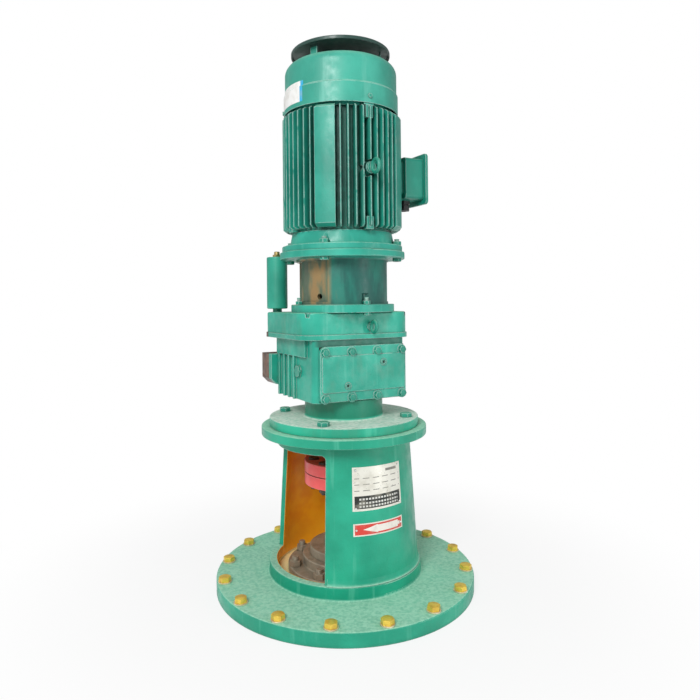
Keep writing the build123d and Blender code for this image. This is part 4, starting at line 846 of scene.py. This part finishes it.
def either(tree, *masks):
    result = masks[0]
    for mask in masks[1:]:
        result = maths(tree, "MAXIMUM", result, mask)
    return result


def uv_parts(tree):
    uv = add(tree, "TexCoord").outputs["UV"]
    parts = add(tree, "SeparateXYZ", {0: uv})
    return uv, parts.outputs[0], parts.outputs[1]


def broken_bars(tree, u, v, rows, thick, repeat, share):
    """Rows of short bars at some heights of the plate."""
    along = maths(tree, "LESS_THAN", maths(tree, "FRACT", times(tree, u, repeat)), share)
    lines = either(tree, *[within(tree, v, row - thick, row + thick) for row in rows])
    return times(tree, along, lines)


def sheet_print(name, rough, metallic, build):
    made, tree, shader = start_material(name)
    uv, u, v = uv_parts(tree)
    coords = object_coords(tree)
    tone = build(tree, u, v)
    smear = between(tree, noise(tree, coords, 55.0, 6.0), 0.42, 0.75, 0.0, 0.4)
    link(tree, blend(tree, smear, tone, (0.50, 0.47, 0.38)), shader, "Base Color")
    shader.inputs["Metallic"].default_value = metallic
    gloss = between(tree, noise(tree, coords, 120.0), 0.3, 0.7, rough * 0.8, rough * 1.2)
    link(tree, gloss, shader, "Roughness")
    grain = noise(tree, coords, 240.0)
    bump = add(tree, "Bump", {"Strength": 0.15, "Distance": 0.1 * mm, "Height": grain})
    link(tree, bump.outputs[0], shader, "Normal")
    return made


# %% Rating plate
def rating_print(tree, u, v):
    inside = within(tree, u, 0.035, 0.965)
    band = times(tree, within(tree, v, 0.05, 0.34), inside)
    rows = broken_bars(tree, u, v, [0.46, 0.60, 0.74], 0.009, 5.3, 0.66)
    heading = times(tree, within(tree, v, 0.85, 0.91), within(tree, u, 0.64, 0.90))
    marks = times(tree, either(tree, rows, heading), inside)
    bars = broken_bars(tree, u, v, [0.10, 0.175, 0.265], 0.021, 17.0, 0.64)
    bars = times(tree, bars, within(tree, u, 0.12, 0.90))
    tone = blend(tree, times(tree, marks, 0.8), (0.84, 0.82, 0.74), (0.08, 0.08, 0.07))
    tone = blend(tree, band, tone, (0.030, 0.034, 0.030))
    return blend(tree, times(tree, bars, 0.85), tone, (0.85, 0.85, 0.80))


plate_thick = 0.8 * mm


def plate_radius(z):
    return cone_radius(z) + 0.3 * mm


rating = bent_sheet(*plate_span("name_plate"), plate_radius, plate_thick)
rating_sheet = sheet_print("rating_print", 0.34, 0.35, rating_print)
name_plate_fine = finish_piece(rating, "rating_plate_fine", rating_sheet, "machine", "plate")
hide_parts("name_plate")
finish_with(metal("rivet_aluminium", (0.85, 0.86, 0.84), rough=0.35, shade_and_dirt=0.15), "plate_rivets")


# %% Arrow plate
def arrow_print(tree, u, v):
    frame_mask = times(tree, within(tree, u, 0.025, 0.975), within(tree, v, 0.09, 0.91))
    aside = maths(tree, "ABSOLUTE", maths(tree, "SUBTRACT", v, 0.5))
    slant = times(tree, maths(tree, "SUBTRACT", u, 0.17), 1.2)
    head = times(tree, within(tree, u, 0.17, 0.44), maths(tree, "LESS_THAN", aside, slant))
    shaft = times(tree, within(tree, u, 0.44, 0.88), maths(tree, "LESS_THAN", aside, 0.27))
    tail = times(tree, within(tree, u, 0.86, 0.93), maths(tree, "LESS_THAN", aside, 0.14))
    red = blend(tree, frame_mask, (0.88, 0.82, 0.74), (0.72, 0.055, 0.040))
    return blend(tree, either(tree, head, shaft, tail), red, (0.92, 0.86, 0.80))


arrow = bent_sheet(*plate_span("arrow_plate"), plate_radius, plate_thick, up=4)
arrow_sheet = sheet_print("arrow_print", 0.4, 0.0, arrow_print)
arrow_plate_fine = finish_piece(arrow, "arrow_plate_fine", arrow_sheet, "machine", "red_plate")
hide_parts("arrow_plate")

# %% [markdown]
# ## The blank label on the cowl
#
# A white self-adhesive label with one blue edge is stuck across the step of the
# fan cowl. It is thinner than a millimetre and follows the cowl's own radius.

# %% Label
cowl_low, cowl_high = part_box("fan_cowl")
cowl_points = [v.co for v in nodes["fan_cowl"].data.vertices]
cowl_step = cowl_low.z + 44 * mm
step_run = 3 * mm
label_gap = 0.25 * mm
label_thick = 0.3 * mm
label_low = cowl_low.z + 10 * mm
label_high = cowl_low.z + 57 * mm
label_start = radians(152)
label_end = radians(203)


def widest(low, high):
    """The cowl's largest radius between two heights."""
    return max(hypot(co.x, co.y) for co in cowl_points if low < round(co.z, 4) < high)


cowl_low_r = widest(0, cowl_low.z + 5 * mm)
cowl_up_r = widest(cowl_low.z + 60 * mm, cowl_high.z - 20 * mm)


def label_radius(z):
    share = min(1.0, max(0.0, (z - cowl_step) / step_run))
    return cowl_low_r + (cowl_up_r - cowl_low_r) * share + label_gap


def label_print(tree, u, v):
    blue_edge = maths(tree, "GREATER_THAN", u, 0.93)
    return blend(tree, blue_edge, (0.88, 0.88, 0.86), (0.02, 0.42, 0.72))


label_span = (label_start, label_end, label_low, label_high)
label = bent_sheet(*label_span, label_radius, label_thick, across=40, up=30)
label_sheet = sheet_print("label_print", 0.5, 0.0, label_print)
finish_piece(label, "cowl_label", label_sheet, "machine", "plate")

# %% [markdown]
# ## Floor, backdrop and light
#
# The floor is a plain pale plane that keeps a soft shadow close to the machine
# and turns to pure white farther off, so no horizon shows. The world is an even
# pale sky. One large soft lamp from the upper left gives the curved castings
# their light and dark side, and a tall narrow one on the right gives the cone a
# faint upright gleam.

# %% Studio
floor_half = 20.0
floor_gap = 0.2 * mm
shadow_near = 0.35
shadow_far = 0.95
sky_light = 0.46


def either_ray(tree, first, second):
    """1 for rays of two kinds, such as camera and glossy rays."""
    path = add(tree, "LightPath")
    return maths(tree, "MAXIMUM", path.outputs[first], path.outputs[second])


def pale_surface(name):
    made, tree, shader = start_material(name)
    shader.inputs["Base Color"].default_value = (0.90, 0.90, 0.90, 1)
    shader.inputs["Roughness"].default_value = 0.9
    shader.inputs["Specular IOR Level"].default_value = 0.1
    seen = either_ray(tree, "Is Camera Ray", "Is Glossy Ray")
    glow = add(tree, "Emission", {"Color": (1, 1, 1, 1), "Strength": 1.0})
    away = add(tree, "VectorMath", {0: object_coords(tree)}, operation="LENGTH").outputs["Value"]
    share = times(tree, seen, between(tree, away, shadow_near, shadow_far, 0.80, 1.0))
    mix = add(tree, "MixShader", {0: share, 1: shader.outputs[0], 2: glow.outputs[0]})
    link(tree, mix.outputs[0], tree.nodes["Material Output"], "Surface")
    return made


floor_mesh = bmesh.new()
bmesh.ops.create_grid(floor_mesh, x_segments=1, y_segments=1, size=floor_half)
floor_data = bpy.data.meshes.new("floor")
floor_mesh.to_mesh(floor_data)
floor_mesh.free()
floor_data.transform(Matrix.Translation((0, 0, cad_low.z - floor_gap)))
floor_data.materials.append(pale_surface("floor_pale"))
floor = bpy.data.objects.new("floor", floor_data)
scene.collection.objects.link(floor)

world = bpy.data.worlds.new("studio")
world.use_nodes = True
world_tree = world.node_tree
direct = either_ray(world_tree, "Is Camera Ray", "Is Transmission Ray")
sky = world_tree.nodes["Background"]
sky.inputs["Color"].default_value = (1, 1, 1, 1)
link(world_tree, between(world_tree, direct, 0.0, 1.0, sky_light, 1.0), sky, "Strength")
scene.world = world


def soft_lamp(name, place, width, height, power, aim=(0, 0, 0.65)):
    data = bpy.data.lights.new(name, "AREA")
    data.shape = "RECTANGLE"
    data.size = width
    data.size_y = height
    data.energy = power
    lamp = bpy.data.objects.new(name, data)
    scene.collection.objects.link(lamp)
    lamp.location = place
    lamp.rotation_euler = (Vector(aim) - Vector(place)).to_track_quat("-Z", "Y").to_euler()
    return lamp


soft_lamp("key", (-2.05, -1.95, 2.3), 1.1, 1.1, 66.0)
soft_lamp("strip", (1.30, -2.45, 0.75), 0.10, 1.5, 11.0)
print("lamps ready")

# %% [markdown] ## The end
# The dressed machine has to stay inside the box of its solids.
